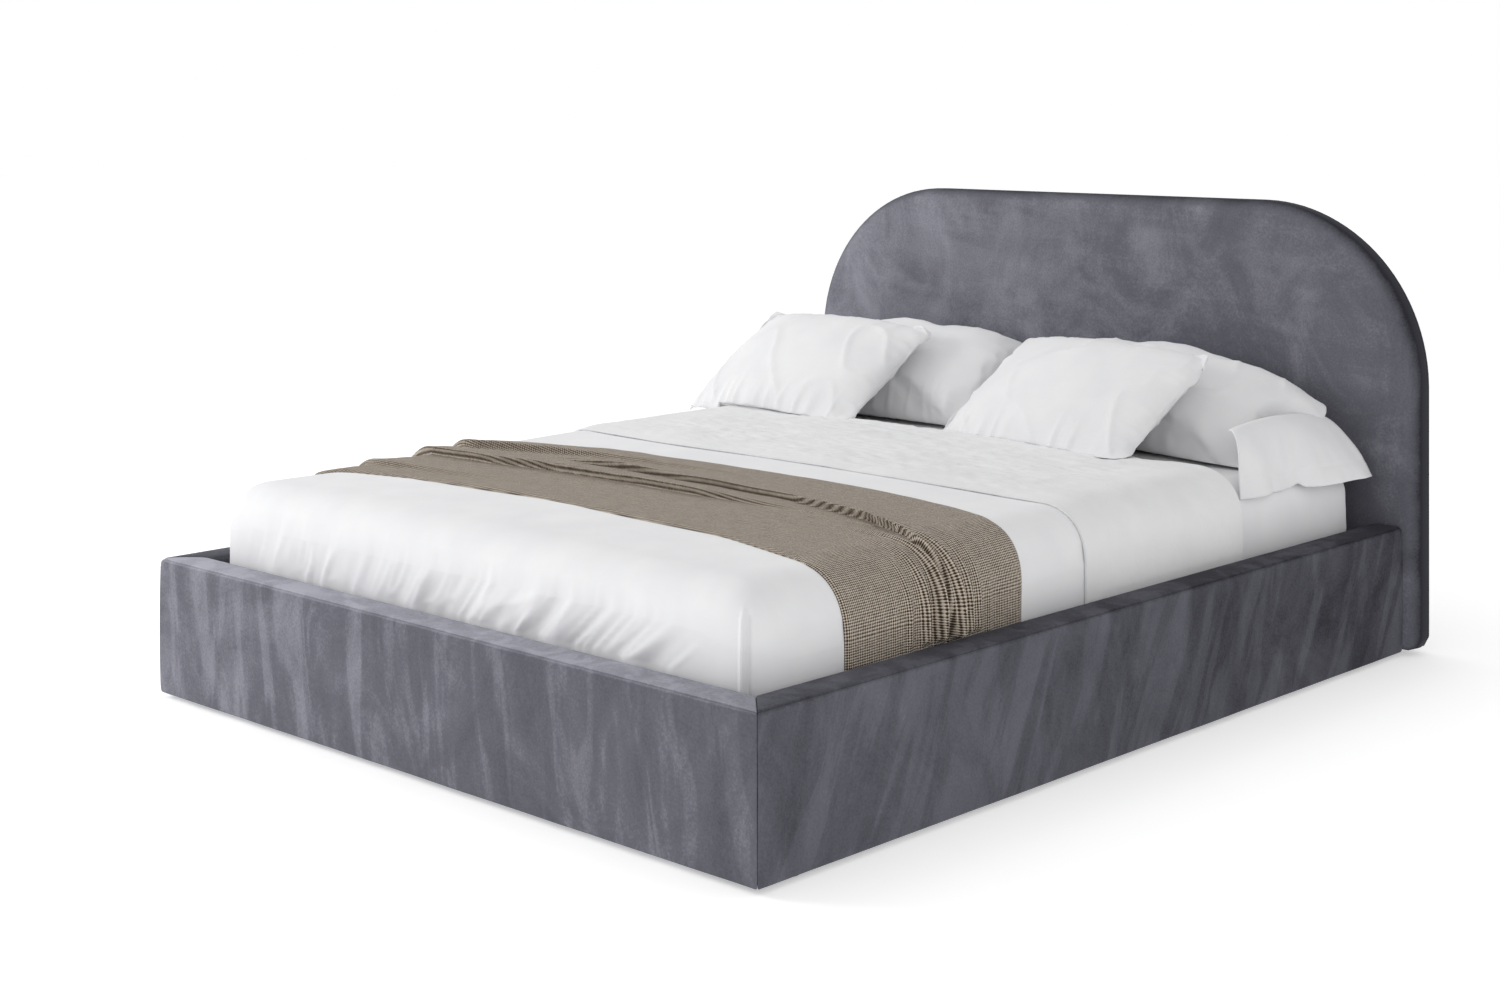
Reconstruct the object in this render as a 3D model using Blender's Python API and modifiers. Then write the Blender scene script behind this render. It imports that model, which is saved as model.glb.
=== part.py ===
"""Upholstered lift-up bed for a 160 x 200 cm mattress, dressed with bedding.

Frame: metres, +Z up from the floor, +Y towards the headboard, +X towards the right-hand side rail.
The origin is on the floor, under the middle of the whole bed.

The box under the mattress is empty for storage. A slatted steel frame carries the mattress and swings
up on two pairs of arms: the rear pair turns the frame about its head end, the front pair carries a pin
that runs in a slotted lug, and a gas strut on each side pushes on the front arm.
"""

import math

import bmesh
import bpy
from mathutils import Matrix, Vector

# ---------------------------------------------------------------- driving dimensions
LENGTH = 2.251
RAIL_WIDTH = 1.770
RAIL_THICKNESS = 0.077
RAIL_TOP = 0.300
RAIL_BOTTOM = 0.010
RAIL_ROUNDING = 0.010
RAIL_BOARD = 0.030
RAIL_FOAM_OUT = 0.032
RAIL_FOAM_TOP = 0.022

HEAD_WIDTH = 1.842
HEAD_TOP = 1.042
HEAD_THICKNESS = 0.085
HEAD_ARC = 0.425
HEAD_FOOT_ARC = 0.030
HEAD_ROUNDING = 0.030
HEAD_FRAME_INSET = 0.055
HEAD_FOAM = 0.040
HEAD_FRAME = 0.040
HEAD_CLOTH = 0.0025

MATTRESS = (1.580, 2.000, 0.225)
MATTRESS_BOTTOM = 0.230
MATTRESS_ROUNDING = 0.055
FOOT_GAP = 0.012

TUBE_WIDTH = 0.040
TUBE_TOP = 0.210
TUBE_BOTTOM = 0.180
TUBE_OUTER_X = 0.785
LUG_OUTER_X = 0.7925
SLAT_COUNT = 11
SLAT_WIDTH = 0.095
SLAT_BOTTOM = 0.2105
SLAT_TOP = 0.2290

# Pivots of the lift, as (distance from the foot rail's outer face, height).
REAR_ARM_LOW = (1.50332, 0.05643)
REAR_ARM_HIGH = (1.82304, 0.190)
FRONT_ARM_LOW = (1.10385, 0.09036)
FRONT_ARM_HIGH = (1.59344, 0.190)
STRUT_LOW = (FRONT_ARM_LOW[0] + 0.060, 0.040)
STRUT_ALONG_ARM = 0.360
SLOT_DIRECTION = math.radians(-23.6)
SLOT_TRAVEL = 0.0174
PIN_RADIUS = 0.0045
SLOT_RADIUS = 0.0065
ARM_WIDTH = 0.032
ARM_INNER_X = 0.797
ARM_OUTER_X = 0.803
PLATE_INNER_X = 0.8040
STUD_RADIUS = 0.005
STUD_HOLE_RADIUS = 0.0054
STRUT_X = 0.7765

BEDDING = 0.006
BEDDING_LIFT = 0.012
HEM_HEIGHT = 0.262
DUVET_END = 1.600
THROW_SPAN = (0.312, 0.820)
TURNDOWN_SPAN = (1.030, 1.585)

GAP = 0.0003
FOOT_Y = -LENGTH / 2
HEAD_Y = LENGTH / 2
HEAD_FRONT = HEAD_Y - HEAD_THICKNESS
RAIL_X = RAIL_WIDTH / 2
INNER_X = RAIL_X - RAIL_THICKNESS
INNER_Y = FOOT_Y + RAIL_THICKNESS
SIDES = (("left", -1), ("right", 1))

# ---------------------------------------------------------------- looks: colour, roughness, metallic
LOOKS = {
    "velvet": ((0.105, 0.108, 0.135), 0.85, 0.0),
    "timber": ((0.62, 0.45, 0.27), 0.65, 0.0),
    "board": ((0.55, 0.42, 0.28), 0.75, 0.0),
    "slat_pine": ((0.74, 0.57, 0.36), 0.60, 0.0),
    "black_cloth": ((0.02, 0.02, 0.022), 0.95, 0.0),
    "black_plastic": ((0.03, 0.03, 0.03), 0.50, 0.0),
    "zinc_steel": ((0.55, 0.56, 0.58), 0.35, 1.0),
    "grey_steel": ((0.16, 0.17, 0.18), 0.45, 0.6),
    "black_steel": ((0.03, 0.03, 0.035), 0.35, 0.6),
    "chrome_steel": ((0.75, 0.76, 0.78), 0.12, 1.0),
    "mattress_cloth": ((0.86, 0.87, 0.88), 0.90, 0.0),
    "white_cotton": ((0.88, 0.88, 0.90), 0.90, 0.0),
    "brown_twill": ((0.20, 0.165, 0.13), 0.95, 0.0),
    "strap_web": ((0.05, 0.05, 0.055), 0.90, 0.0),
}


def clear_scene():
    for old in list(bpy.data.objects):
        bpy.data.objects.remove(old, do_unlink=True)


def new_collection(name):
    collection = bpy.data.collections.new(name)
    bpy.context.scene.collection.children.link(collection)
    return collection


clear_scene()
PARTS = new_collection("lift_up_bed")
CUTTERS = new_collection("cutters")


def material_for(look):
    """One Principled material for each look, made the first time it is asked for."""
    if look in bpy.data.materials:
        return bpy.data.materials[look]
    colour, roughness, metallic = LOOKS[look]
    material = bpy.data.materials.new(look)
    material.use_nodes = True
    shader = material.node_tree.nodes["Principled BSDF"]
    shader.inputs["Base Color"].default_value = (*colour, 1.0)
    shader.inputs["Roughness"].default_value = roughness
    shader.inputs["Metallic"].default_value = metallic
    return material


def finish_object(name, shape, look, origin=(0, 0, 0)):
    """Turns a bmesh in world coordinates into a named object whose origin is at the given point."""
    bmesh.ops.recalc_face_normals(shape, faces=shape.faces)
    mesh = bpy.data.meshes.new(name)
    shape.to_mesh(mesh)
    shape.free()
    mesh.transform(Matrix.Translation(-Vector(origin)))
    made = bpy.data.objects.new(name, mesh)
    made.location = origin
    if look:
        mesh.materials.append(material_for(look))
        PARTS.objects.link(made)
    else:
        CUTTERS.objects.link(made)
        made.hide_render = True
        made.display_type = "WIRE"
    return made


def add_bevel(target, width, segments=2, angle=50):
    bevel = target.modifiers.new("Bevel", "BEVEL")
    bevel.width = width
    bevel.segments = segments
    bevel.limit_method = "ANGLE"
    bevel.angle_limit = math.radians(angle)
    return bevel


def add_boolean(target, other, operation):
    boolean = target.modifiers.new(operation.title(), "BOOLEAN")
    boolean.operation = operation
    boolean.object = other
    boolean.solver = "EXACT"


def smooth(target, angle=40):
    target.data.shade_smooth()
    target.data.set_sharp_from_angle(angle=math.radians(angle))


def cube_shape(low, high):
    low, high = Vector(low), Vector(high)
    shape = bmesh.new()
    bmesh.ops.create_cube(shape, size=1.0)
    size = high - low
    bmesh.ops.scale(shape, vec=size, verts=shape.verts)
    bmesh.ops.translate(shape, vec=(low + high) / 2, verts=shape.verts)
    return shape


def box(name, look, low, high, bevel=0.0, origin=None, segments=2):
    centre = (Vector(low) + Vector(high)) / 2
    made = finish_object(name, cube_shape(low, high), look, centre if origin is None else origin)
    if bevel:
        add_bevel(made, bevel, segments)
    return made


def prism_shape(outline, axis, start, end):
    """Extrudes a flat outline along an axis. Outline points are in the two other axes, in X, Y, Z order."""
    along = "XYZ".index(axis)
    shape = bmesh.new()
    corners = []
    for first, second in outline:
        point = [first, second]
        point.insert(along, start)
        corners.append(shape.verts.new(point))
    face = shape.faces.new(corners)
    grown = bmesh.ops.extrude_face_region(shape, geom=[face])
    moved = [item for item in grown["geom"] if isinstance(item, bmesh.types.BMVert)]
    step = Vector((0, 0, 0))
    step[along] = end - start
    bmesh.ops.translate(shape, vec=step, verts=moved)
    return shape


def arc(centre, radius, start, end, steps):
    """Points on an arc, its angles in degrees, both ends included."""
    points = []
    for step in range(steps + 1):
        angle = math.radians(start + (end - start) * step / steps)
        points.append((centre[0] + radius * math.cos(angle), centre[1] + radius * math.sin(angle)))
    return points


def circle(centre, radius, sides=20):
    return arc(centre, radius, 0, 360, sides)[:-1]


def capsule(first, second, radius, steps=8):
    """Outline of a flat bar with round ends about two points."""
    heading = math.degrees(math.atan2(second[1] - first[1], second[0] - first[0]))
    return arc(first, radius, heading + 90, heading + 270, steps) + arc(
        second, radius, heading - 90, heading + 90, steps
    )


def from_foot(point):
    """A pivot given from the foot rail's outer face, as (y, z) in the bed's own frame."""
    return (point[0] + FOOT_Y, point[1])


def x_cutter(name, outline, start, end):
    return finish_object(name, prism_shape(outline, "X", min(start, end), max(start, end)), None)


# ---------------------------------------------------------------- rails and headboard
def slide_ends(shape, along, foot_mitre, head_mitre):
    """Slides each end's points along the rail by their distance from the outer face: a 45 degree mitre."""
    across = 1 - along
    middle = sum(vertex.co[along] for vertex in shape.verts) / len(shape.verts)
    for vertex in shape.verts:
        depth = RAIL_X - abs(vertex.co[0]) if along == 1 else vertex.co[across] - FOOT_Y
        if vertex.co[along] < middle and foot_mitre:
            vertex.co[along] += depth + GAP
        elif vertex.co[along] > middle and head_mitre:
            vertex.co[along] -= depth + GAP


def rail_cover_outline():
    """Section of a rail's foam and cloth, as (depth from the outer face, height): open below."""
    pocket_out = RAIL_FOAM_OUT
    pocket_in = RAIL_FOAM_OUT + RAIL_BOARD + 2 * GAP
    outer = arc((RAIL_ROUNDING, RAIL_TOP - RAIL_ROUNDING), RAIL_ROUNDING, 180, 90, 4)
    inner = arc((RAIL_THICKNESS - RAIL_ROUNDING, RAIL_TOP - RAIL_ROUNDING), RAIL_ROUNDING, 90, 0, 4)
    pocket_top = RAIL_TOP - RAIL_FOAM_TOP
    return (
        [(0, RAIL_BOTTOM)]
        + outer
        + inner
        + [(RAIL_THICKNESS, RAIL_BOTTOM), (pocket_in, RAIL_BOTTOM), (pocket_in, pocket_top)]
        + [(pocket_out, pocket_top), (pocket_out, RAIL_BOTTOM)]
    )


def rail_board_outline():
    start = RAIL_FOAM_OUT + GAP
    top = RAIL_TOP - RAIL_FOAM_TOP - GAP
    return [(start, RAIL_BOTTOM), (start + RAIL_BOARD, RAIL_BOTTOM), (start + RAIL_BOARD, top), (start, top)]


def side_rail(name, look, outline, side):
    points = [(side * (RAIL_X - depth), height) for depth, height in outline]
    shape = prism_shape(points, "Y", FOOT_Y, HEAD_FRONT - GAP)
    slide_ends(shape, 1, True, False)
    smooth(finish_object(name, shape, look))


def foot_rail(name, look, outline):
    points = [(FOOT_Y + depth, height) for depth, height in outline]
    shape = prism_shape(points, "X", -RAIL_X, RAIL_X)
    slide_ends(shape, 0, True, True)
    smooth(finish_object(name, shape, look))


def head_outline(inset, bottom):
    """The headboard's arched outline, drawn inwards by an inset: (x, z) points."""
    half = HEAD_WIDTH / 2 - inset
    top = HEAD_TOP - inset
    radius = HEAD_ARC - inset
    low = max(HEAD_FOOT_ARC - inset, 0.004)
    spring = top - radius
    return (
        arc((half - low, bottom + low), low, -90, 0, 4)
        + arc((half - radius, spring), radius, 0, 90, 14)
        + arc((radius - half, spring), radius, 90, 180, 14)
        + arc((low - half, bottom + low), low, 180, 270, 4)
    )


def make_headboard():
    pocket_front = HEAD_FRONT + HEAD_FOAM
    cover = finish_object(
        "headboard_upholstery",
        prism_shape(head_outline(0, RAIL_BOTTOM), "Y", HEAD_FRONT, HEAD_Y),
        "velvet",
    )
    add_bevel(cover, HEAD_ROUNDING, 4, 60)
    inset = HEAD_FRAME_INSET
    pocket = finish_object(
        "headboard_pocket",
        prism_shape(head_outline(inset, RAIL_BOTTOM + inset), "Y", pocket_front, HEAD_Y + 0.01),
        None,
    )
    add_boolean(cover, pocket, "DIFFERENCE")
    smooth(cover)
    inset += GAP
    back = pocket_front + GAP + HEAD_FRAME
    finish_object(
        "headboard_core",
        prism_shape(head_outline(inset, RAIL_BOTTOM + inset), "Y", pocket_front + GAP, back),
        "timber",
    )
    finish_object(
        "headboard_back_cloth",
        prism_shape(head_outline(inset, RAIL_BOTTOM + inset), "Y", back + GAP, back + GAP + HEAD_CLOTH),
        "black_cloth",
    )


def make_box():
    foot_rail("foot_rail_core", "timber", rail_board_outline())
    foot_rail("foot_rail_upholstery", "velvet", rail_cover_outline())
    for name, side in SIDES:
        side_rail(f"side_rail_core_{name}", "timber", rail_board_outline(), side)
        side_rail(f"side_rail_upholstery_{name}", "velvet", rail_cover_outline(), side)
    board = 0.018
    box(
        "head_cross_board",
        "board",
        (-INNER_X + 0.036, HEAD_FRONT - GAP - board, 0.010),
        (INNER_X - 0.036, HEAD_FRONT - GAP, 0.165),
        0.001,
    )


def angle_outline(corner, x_way, y_way, leg, thickness):
    """An L section in plan, its outer corner at the given point and its legs along the given ways."""
    x, y = corner
    return [
        (x, y),
        (x + x_way * leg, y),
        (x + x_way * leg, y + y_way * thickness),
        (x + x_way * thickness, y + y_way * thickness),
        (x + x_way * thickness, y + y_way * leg),
        (x, y + y_way * leg),
    ]


def make_brackets():
    for name, side in SIDES:
        x = side * (INNER_X - GAP)
        foot = angle_outline((x, INNER_Y + GAP), -side, 1, 0.045, 0.003)
        finish_object(f"corner_bracket_{name}", prism_shape(foot, "Z", 0.030, 0.135), "zinc_steel")
        head = angle_outline((x, HEAD_FRONT - GAP), -side, -1, 0.032, 0.003)
        finish_object(f"headboard_bracket_{name}", prism_shape(head, "Z", 0.030, 0.240), "zinc_steel")


def make_base():
    for name, side in SIDES:
        inner, outer = side * GAP, side * (INNER_X - 0.001)
        box(
            f"storage_floor_{name}",
            "board",
            (min(inner, outer), INNER_Y + 0.001, 0.0),
            (max(inner, outer), HEAD_FRONT - 0.0188, 0.009),
        )
        inner, outer = side * (INNER_X - 0.030), side * (INNER_X - GAP)
        box(
            f"support_ledge_{name}",
            "timber",
            (min(inner, outer), INNER_Y + 0.032, 0.150),
            (max(inner, outer), INNER_Y + 0.850, TUBE_BOTTOM - GAP),
            0.0015,
        )
    box(
        "support_ledge_foot",
        "timber",
        (-INNER_X + 0.032, INNER_Y + GAP, 0.150),
        (INNER_X - 0.032, INNER_Y + 0.030, TUBE_BOTTOM - GAP),
        0.0015,
    )
    middle = RAIL_FOAM_OUT + RAIL_BOARD / 2
    places = (("foot_left", -1, FOOT_Y + 0.12), ("foot_right", 1, FOOT_Y + 0.12))
    places += (("head_left", -1, HEAD_FRONT - 0.10), ("head_right", 1, HEAD_FRONT - 0.10))
    for name, side, y in places:
        shape = bmesh.new()
        height = RAIL_BOTTOM - GAP
        bmesh.ops.create_cone(shape, cap_ends=True, segments=24, radius1=0.024, radius2=0.026, depth=height)
        bmesh.ops.translate(shape, vec=(side * (RAIL_X - middle), y, height / 2), verts=shape.verts)
        smooth(finish_object(f"glide_{name}", shape, "black_plastic"))


# ---------------------------------------------------------------- lift mechanism
def make_hinge_base(name, side):
    """The fixed plate on the rail, with a stud for each arm and one for the strut."""
    low, high = from_foot((1.070, 0.022)), from_foot((1.540, 0.124))
    outline = [low, (high[0], low[1]), (high[0], 0.088), (high[0] - 0.10, high[1]), (low[0], high[1])]
    start, end = side * PLATE_INNER_X, side * (INNER_X - GAP)
    plate = finish_object(
        f"hinge_base_{name}", prism_shape(outline, "X", min(start, end), max(start, end)), "grey_steel"
    )
    studs = (
        ("rear", REAR_ARM_LOW, STUD_RADIUS, ARM_INNER_X - 0.003),
        ("front", FRONT_ARM_LOW, STUD_RADIUS, ARM_INNER_X - 0.003),
        ("strut", STRUT_LOW, 0.004, STRUT_X - 0.009),
    )
    for which, point, radius, reach in studs:
        stud = x_cutter(
            f"stud_{which}_{name}", circle(from_foot(point), radius), side * reach, side * (INNER_X - 0.002)
        )
        add_boolean(plate, stud, "UNION")


def make_arm(name, side, kind, low, high, holes, pins):
    """A flat bar between two pivots, turned about the lower one."""
    low, high = from_foot(low), from_foot(high)
    start, end = side * ARM_INNER_X, side * ARM_OUTER_X
    bar = finish_object(
        f"{kind}_arm_{name}",
        prism_shape(capsule(low, high, ARM_WIDTH / 2), "X", min(start, end), max(start, end)),
        "grey_steel",
        (0, *low),
    )
    for index, point in enumerate(holes):
        reach = (side * (ARM_INNER_X - 0.01), side * (ARM_OUTER_X + 0.01))
        hole = x_cutter(f"{kind}_hole_{index}_{name}", circle(from_foot(point), STUD_HOLE_RADIUS, 24), *reach)
        add_boolean(bar, hole, "DIFFERENCE")
    for index, (point, radius, reach) in enumerate(pins):
        reach_pair = (side * reach, side * (ARM_INNER_X + 0.003))
        pin = x_cutter(f"{kind}_pin_{index}_{name}", circle(from_foot(point), radius), *reach_pair)
        add_boolean(bar, pin, "UNION")
    smooth(bar)


def strut_high():
    """Where the strut meets the front arm."""
    low, high = Vector(FRONT_ARM_LOW), Vector(FRONT_ARM_HIGH)
    return tuple(low + (high - low).normalized() * STRUT_ALONG_ARM)


def rod_shape(points, radius, sides=16):
    """A round bar between two (y, z) points at the strut's distance from the middle."""
    first, second = (Vector((0, *point)) for point in points)
    shape = bmesh.new()
    length = (second - first).length
    bmesh.ops.create_cone(
        shape, cap_ends=True, segments=sides, radius1=radius, radius2=radius, depth=length
    )
    turn = (second - first).to_track_quat("Z", "Y").to_matrix().to_4x4()
    bmesh.ops.transform(shape, matrix=Matrix.Translation((first + second) / 2) @ turn, verts=shape.verts)
    return shape


def make_strut(name, side):
    """A gas strut: a cylinder on the fixed plate's stud and a rod that reaches the front arm."""
    low, high = Vector(from_foot(STRUT_LOW)), Vector(from_foot(strut_high()))
    way = (high - low).normalized()
    x = side * STRUT_X

    def at(distance):
        return tuple(low + way * distance)

    def placed(shape):
        bmesh.ops.translate(shape, vec=(x, 0, 0), verts=shape.verts)
        return shape

    body = finish_object(
        f"strut_cylinder_{name}", placed(rod_shape((at(0.004), at(0.225)), 0.009, 20)), "black_steel",
        (x, *low),
    )
    eye = x_cutter(f"cylinder_eye_{name}", circle(low, 0.009), x - 0.006, x + 0.006)
    add_boolean(body, eye, "UNION")
    eye_hole = x_cutter(f"cylinder_eye_hole_{name}", circle(low, 0.0044, 24), x - 0.02, x + 0.02)
    add_boolean(body, eye_hole, "DIFFERENCE")
    bore = finish_object(f"cylinder_bore_{name}", placed(rod_shape((at(0.115), at(0.240)), 0.0045)), None)
    add_boolean(body, bore, "DIFFERENCE")
    smooth(body)
    length = (high - low).length
    rod = finish_object(
        f"strut_rod_{name}", placed(rod_shape((at(0.127), at(length - 0.004)), 0.004)), "chrome_steel",
        (x, *low),
    )
    socket = x_cutter(f"rod_socket_{name}", circle(high, 0.008), x - 0.006, x + 0.006)
    add_boolean(rod, socket, "UNION")
    smooth(rod)


def make_lift():
    for name, side in SIDES:
        make_hinge_base(name, side)
        make_arm(name, side, "rear", REAR_ARM_LOW, REAR_ARM_HIGH, (REAR_ARM_LOW, REAR_ARM_HIGH), ())
        pins = (
            (FRONT_ARM_HIGH, PIN_RADIUS, 0.787),
            (strut_high(), 0.004, STRUT_X + 0.006 + 2 * GAP),
        )
        make_arm(name, side, "front", FRONT_ARM_LOW, FRONT_ARM_HIGH, (FRONT_ARM_LOW,), pins)
        make_strut(name, side)


# ---------------------------------------------------------------- lift frame, slats
PIVOT = (0, *from_foot(REAR_ARM_HIGH))
FRAME_FOOT = FOOT_Y + 0.100
FRAME_HEAD = FOOT_Y + 2.080


def make_side_tube(name, side):
    """A side tube of the lift frame, with the rear arm's stud."""
    inner, outer = side * (TUBE_OUTER_X - TUBE_WIDTH), side * TUBE_OUTER_X
    tube = box(
        f"lift_side_tube_{name}",
        "grey_steel",
        (min(inner, outer), FRAME_FOOT, TUBE_BOTTOM),
        (max(inner, outer), FRAME_HEAD, TUBE_TOP),
        0.002,
        PIVOT,
        1,
    )
    root = side * (TUBE_OUTER_X - 0.005)
    pivot = from_foot(REAR_ARM_HIGH)
    boss = x_cutter(f"boss_{name}", circle(pivot, 0.0095), root, side * (ARM_INNER_X - 0.0005))
    stud = x_cutter(f"boss_stud_{name}", circle(pivot, STUD_RADIUS), root, side * (ARM_OUTER_X + 0.0005))
    for part in (boss, stud):
        add_boolean(tube, part, "UNION")


def make_lug(name, side):
    """The plate bolted to a side tube's outer face, with the slot for the front arm's pin."""
    start = from_foot(FRONT_ARM_HIGH)
    end = (
        start[0] + SLOT_TRAVEL * math.cos(SLOT_DIRECTION),
        start[1] + SLOT_TRAVEL * math.sin(SLOT_DIRECTION),
    )
    outline = [
        (start[0] - 0.022, TUBE_TOP - 0.004),
        (end[0] + 0.022, TUBE_TOP - 0.004),
        (end[0] + 0.022, end[1] - 0.013),
        (start[0] - 0.010, end[1] - 0.013),
        (start[0] - 0.022, TUBE_BOTTOM),
    ]
    near, far = side * (TUBE_OUTER_X + GAP), side * LUG_OUTER_X
    lug = finish_object(
        f"lift_lug_{name}",
        prism_shape(outline, "X", min(near, far), max(near, far)),
        "grey_steel",
        PIVOT,
    )
    slot = x_cutter(
        f"lug_slot_{name}",
        capsule(start, end, SLOT_RADIUS),
        side * (TUBE_OUTER_X - 0.005),
        side * (LUG_OUTER_X + 0.005),
    )
    add_boolean(lug, slot, "DIFFERENCE")


def make_lift_frame():
    for name, side in SIDES:
        make_side_tube(name, side)
        make_lug(name, side)
    reach = TUBE_OUTER_X - TUBE_WIDTH - GAP
    crossings = (("foot", FRAME_FOOT), ("head", FRAME_HEAD - TUBE_WIDTH))
    for name, y in crossings:
        box(
            f"lift_{name}_tube",
            "grey_steel",
            (-reach, y, TUBE_BOTTOM),
            (reach, y + TUBE_WIDTH, TUBE_TOP),
            0.002,
            PIVOT,
            1,
        )
    box(
        "lift_centre_tube",
        "grey_steel",
        (-TUBE_WIDTH / 2, FRAME_FOOT + TUBE_WIDTH + GAP, TUBE_BOTTOM),
        (TUBE_WIDTH / 2, FRAME_HEAD - TUBE_WIDTH - GAP, TUBE_TOP),
        0.002,
        PIVOT,
        1,
    )
    pitch = (FRAME_HEAD - FRAME_FOOT - SLAT_WIDTH) / (SLAT_COUNT - 1)
    for index in range(SLAT_COUNT):
        y = FRAME_FOOT + index * pitch
        box(
            f"slat_{index + 1:02d}",
            "slat_pine",
            (-TUBE_OUTER_X + 0.002, y, SLAT_BOTTOM),
            (TUBE_OUTER_X - 0.002, y + SLAT_WIDTH, SLAT_TOP),
            0.002,
            PIVOT,
            1,
        )
    box(
        "pull_strap",
        "strap_web",
        (-0.080, FRAME_FOOT - 0.0030 - GAP, TUBE_BOTTOM + 0.002),
        (0.080, FRAME_FOOT - GAP, SLAT_TOP - 0.002),
        0.001,
        PIVOT,
        1,
    )


# ---------------------------------------------------------------- mattress and bedding
MATTRESS_FOOT = INNER_Y + FOOT_GAP
MATTRESS_TOP = MATTRESS_BOTTOM + MATTRESS[2]


def cloth_cover(name, look, half_width, foot, head, top, open_foot):
    """A cloth shell over the mattress: a box open below and at the head, or at both ends."""
    shape = cube_shape((-half_width, foot, HEM_HEIGHT), (half_width, head, top))
    shape.faces.ensure_lookup_table()
    opened = [face for face in shape.faces if face.normal.z < -0.5 or face.normal.y > 0.5]
    if open_foot:
        opened += [face for face in shape.faces if face.normal.y < -0.5]
    bmesh.ops.delete(shape, geom=opened, context="FACES")
    cover = finish_object(name, shape, look, PIVOT)
    add_bevel(cover, MATTRESS_ROUNDING, 4)
    shell = cover.modifiers.new("Solidify", "SOLIDIFY")
    shell.thickness = BEDDING
    shell.offset = 1.0
    shell.use_even_offset = True
    smooth(cover)


def make_pillow(name, x_span, height, thickness, tilt, low_corner):
    """A pillow as a rounded slab. low_corner is its lower edge's lowest corner, as (y, z)."""
    shape = bmesh.new()
    bmesh.ops.create_cube(shape, size=1.0)
    width = x_span[1] - x_span[0]
    bmesh.ops.scale(shape, vec=(width, height, thickness), verts=shape.verts)
    bmesh.ops.translate(shape, vec=(sum(x_span) / 2, height / 2, thickness / 2), verts=shape.verts)
    bmesh.ops.transform(shape, matrix=Matrix.Rotation(math.radians(tilt), 4, "X"), verts=shape.verts)
    y, z = from_foot(low_corner)
    bmesh.ops.translate(shape, vec=(0, y, z), verts=shape.verts)
    pillow = finish_object(name, shape, "white_cotton", PIVOT)
    add_bevel(pillow, thickness * 0.46, 4)
    smooth(pillow)


def make_bedding():
    half = MATTRESS[0] / 2
    box(
        "mattress",
        "mattress_cloth",
        (-half, MATTRESS_FOOT, MATTRESS_BOTTOM),
        (half, MATTRESS_FOOT + MATTRESS[1], MATTRESS_TOP),
        MATTRESS_ROUNDING,
        PIVOT,
        4,
    )
    inner = half + 0.0015
    foot = MATTRESS_FOOT - 0.0015
    top = MATTRESS_TOP + BEDDING_LIFT
    cloth_cover("duvet", "white_cotton", inner, foot, FOOT_Y + DUVET_END, top, False)
    inner += BEDDING + 0.0008
    top += BEDDING + 0.0008
    for name, look, span in (
        ("throw", "brown_twill", THROW_SPAN),
        ("duvet_turndown", "white_cotton", TURNDOWN_SPAN),
    ):
        cloth_cover(name, look, inner, FOOT_Y + span[0], FOOT_Y + span[1], top, True)
    make_pillow("pillow_front_left", (-0.800, -0.130), 0.430, 0.125, 34, (1.655, MATTRESS_TOP + 0.012))
    make_pillow("pillow_front_right", (-0.060, 0.610), 0.430, 0.125, 34, (1.655, MATTRESS_TOP + 0.012))
    make_pillow("pillow_rear_left", (-0.820, -0.020), 0.305, 0.105, 34, (1.885, MATTRESS_TOP + 0.012))
    make_pillow("pillow_rear_right", (0.040, 0.860), 0.305, 0.105, 34, (1.885, MATTRESS_TOP + 0.012))


make_box()
make_headboard()
make_brackets()
make_base()
make_lift()
make_lift_frame()
make_bedding()
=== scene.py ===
import math
import bmesh
import bpy
import numpy as np
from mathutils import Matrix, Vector


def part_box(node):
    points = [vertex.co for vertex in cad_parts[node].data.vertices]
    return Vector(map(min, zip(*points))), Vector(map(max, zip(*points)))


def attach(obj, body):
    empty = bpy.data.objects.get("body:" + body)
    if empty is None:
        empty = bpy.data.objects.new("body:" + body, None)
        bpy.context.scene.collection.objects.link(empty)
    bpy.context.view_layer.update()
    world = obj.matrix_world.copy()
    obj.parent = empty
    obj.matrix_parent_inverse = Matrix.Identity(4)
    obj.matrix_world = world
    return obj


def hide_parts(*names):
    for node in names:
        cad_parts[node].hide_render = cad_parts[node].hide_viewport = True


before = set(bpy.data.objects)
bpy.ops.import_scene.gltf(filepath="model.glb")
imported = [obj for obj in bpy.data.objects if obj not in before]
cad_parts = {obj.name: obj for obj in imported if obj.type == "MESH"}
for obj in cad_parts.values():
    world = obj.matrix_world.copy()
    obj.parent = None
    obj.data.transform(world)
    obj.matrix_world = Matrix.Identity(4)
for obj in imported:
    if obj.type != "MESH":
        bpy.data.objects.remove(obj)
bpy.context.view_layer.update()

# ---------------------------------------------------------------- places, all worked out from the frame
FOOT_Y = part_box("foot_rail_upholstery")[0].y
RAIL_INNER_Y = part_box("foot_rail_upholstery")[1].y
RAIL_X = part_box("side_rail_upholstery_right")[1].x
RAIL_INNER_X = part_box("side_rail_upholstery_right")[0].x
RAIL_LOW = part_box("side_rail_upholstery_right")[0].z
RAIL_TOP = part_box("side_rail_upholstery_right")[1].z
HEAD_LOW, HEAD_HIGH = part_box("headboard_upholstery")
MATTRESS_LOW, MATTRESS_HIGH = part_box("mattress")
PLATFORM = "lift_platform"
BOX = "bed_frame"
SIDES = (("left", -1), ("right", 1))

SHEET_TOP = MATTRESS_HIGH.z
BEDDING_HALF = 0.797
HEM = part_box("duvet")[0].z
CREASE_Y = FOOT_Y + 1.600
DUVET_FOOT = FOOT_Y + 0.084


def y_of(distance):
    """A place along the bed from its distance to the foot rail's outer face."""
    return FOOT_Y + distance


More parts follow.
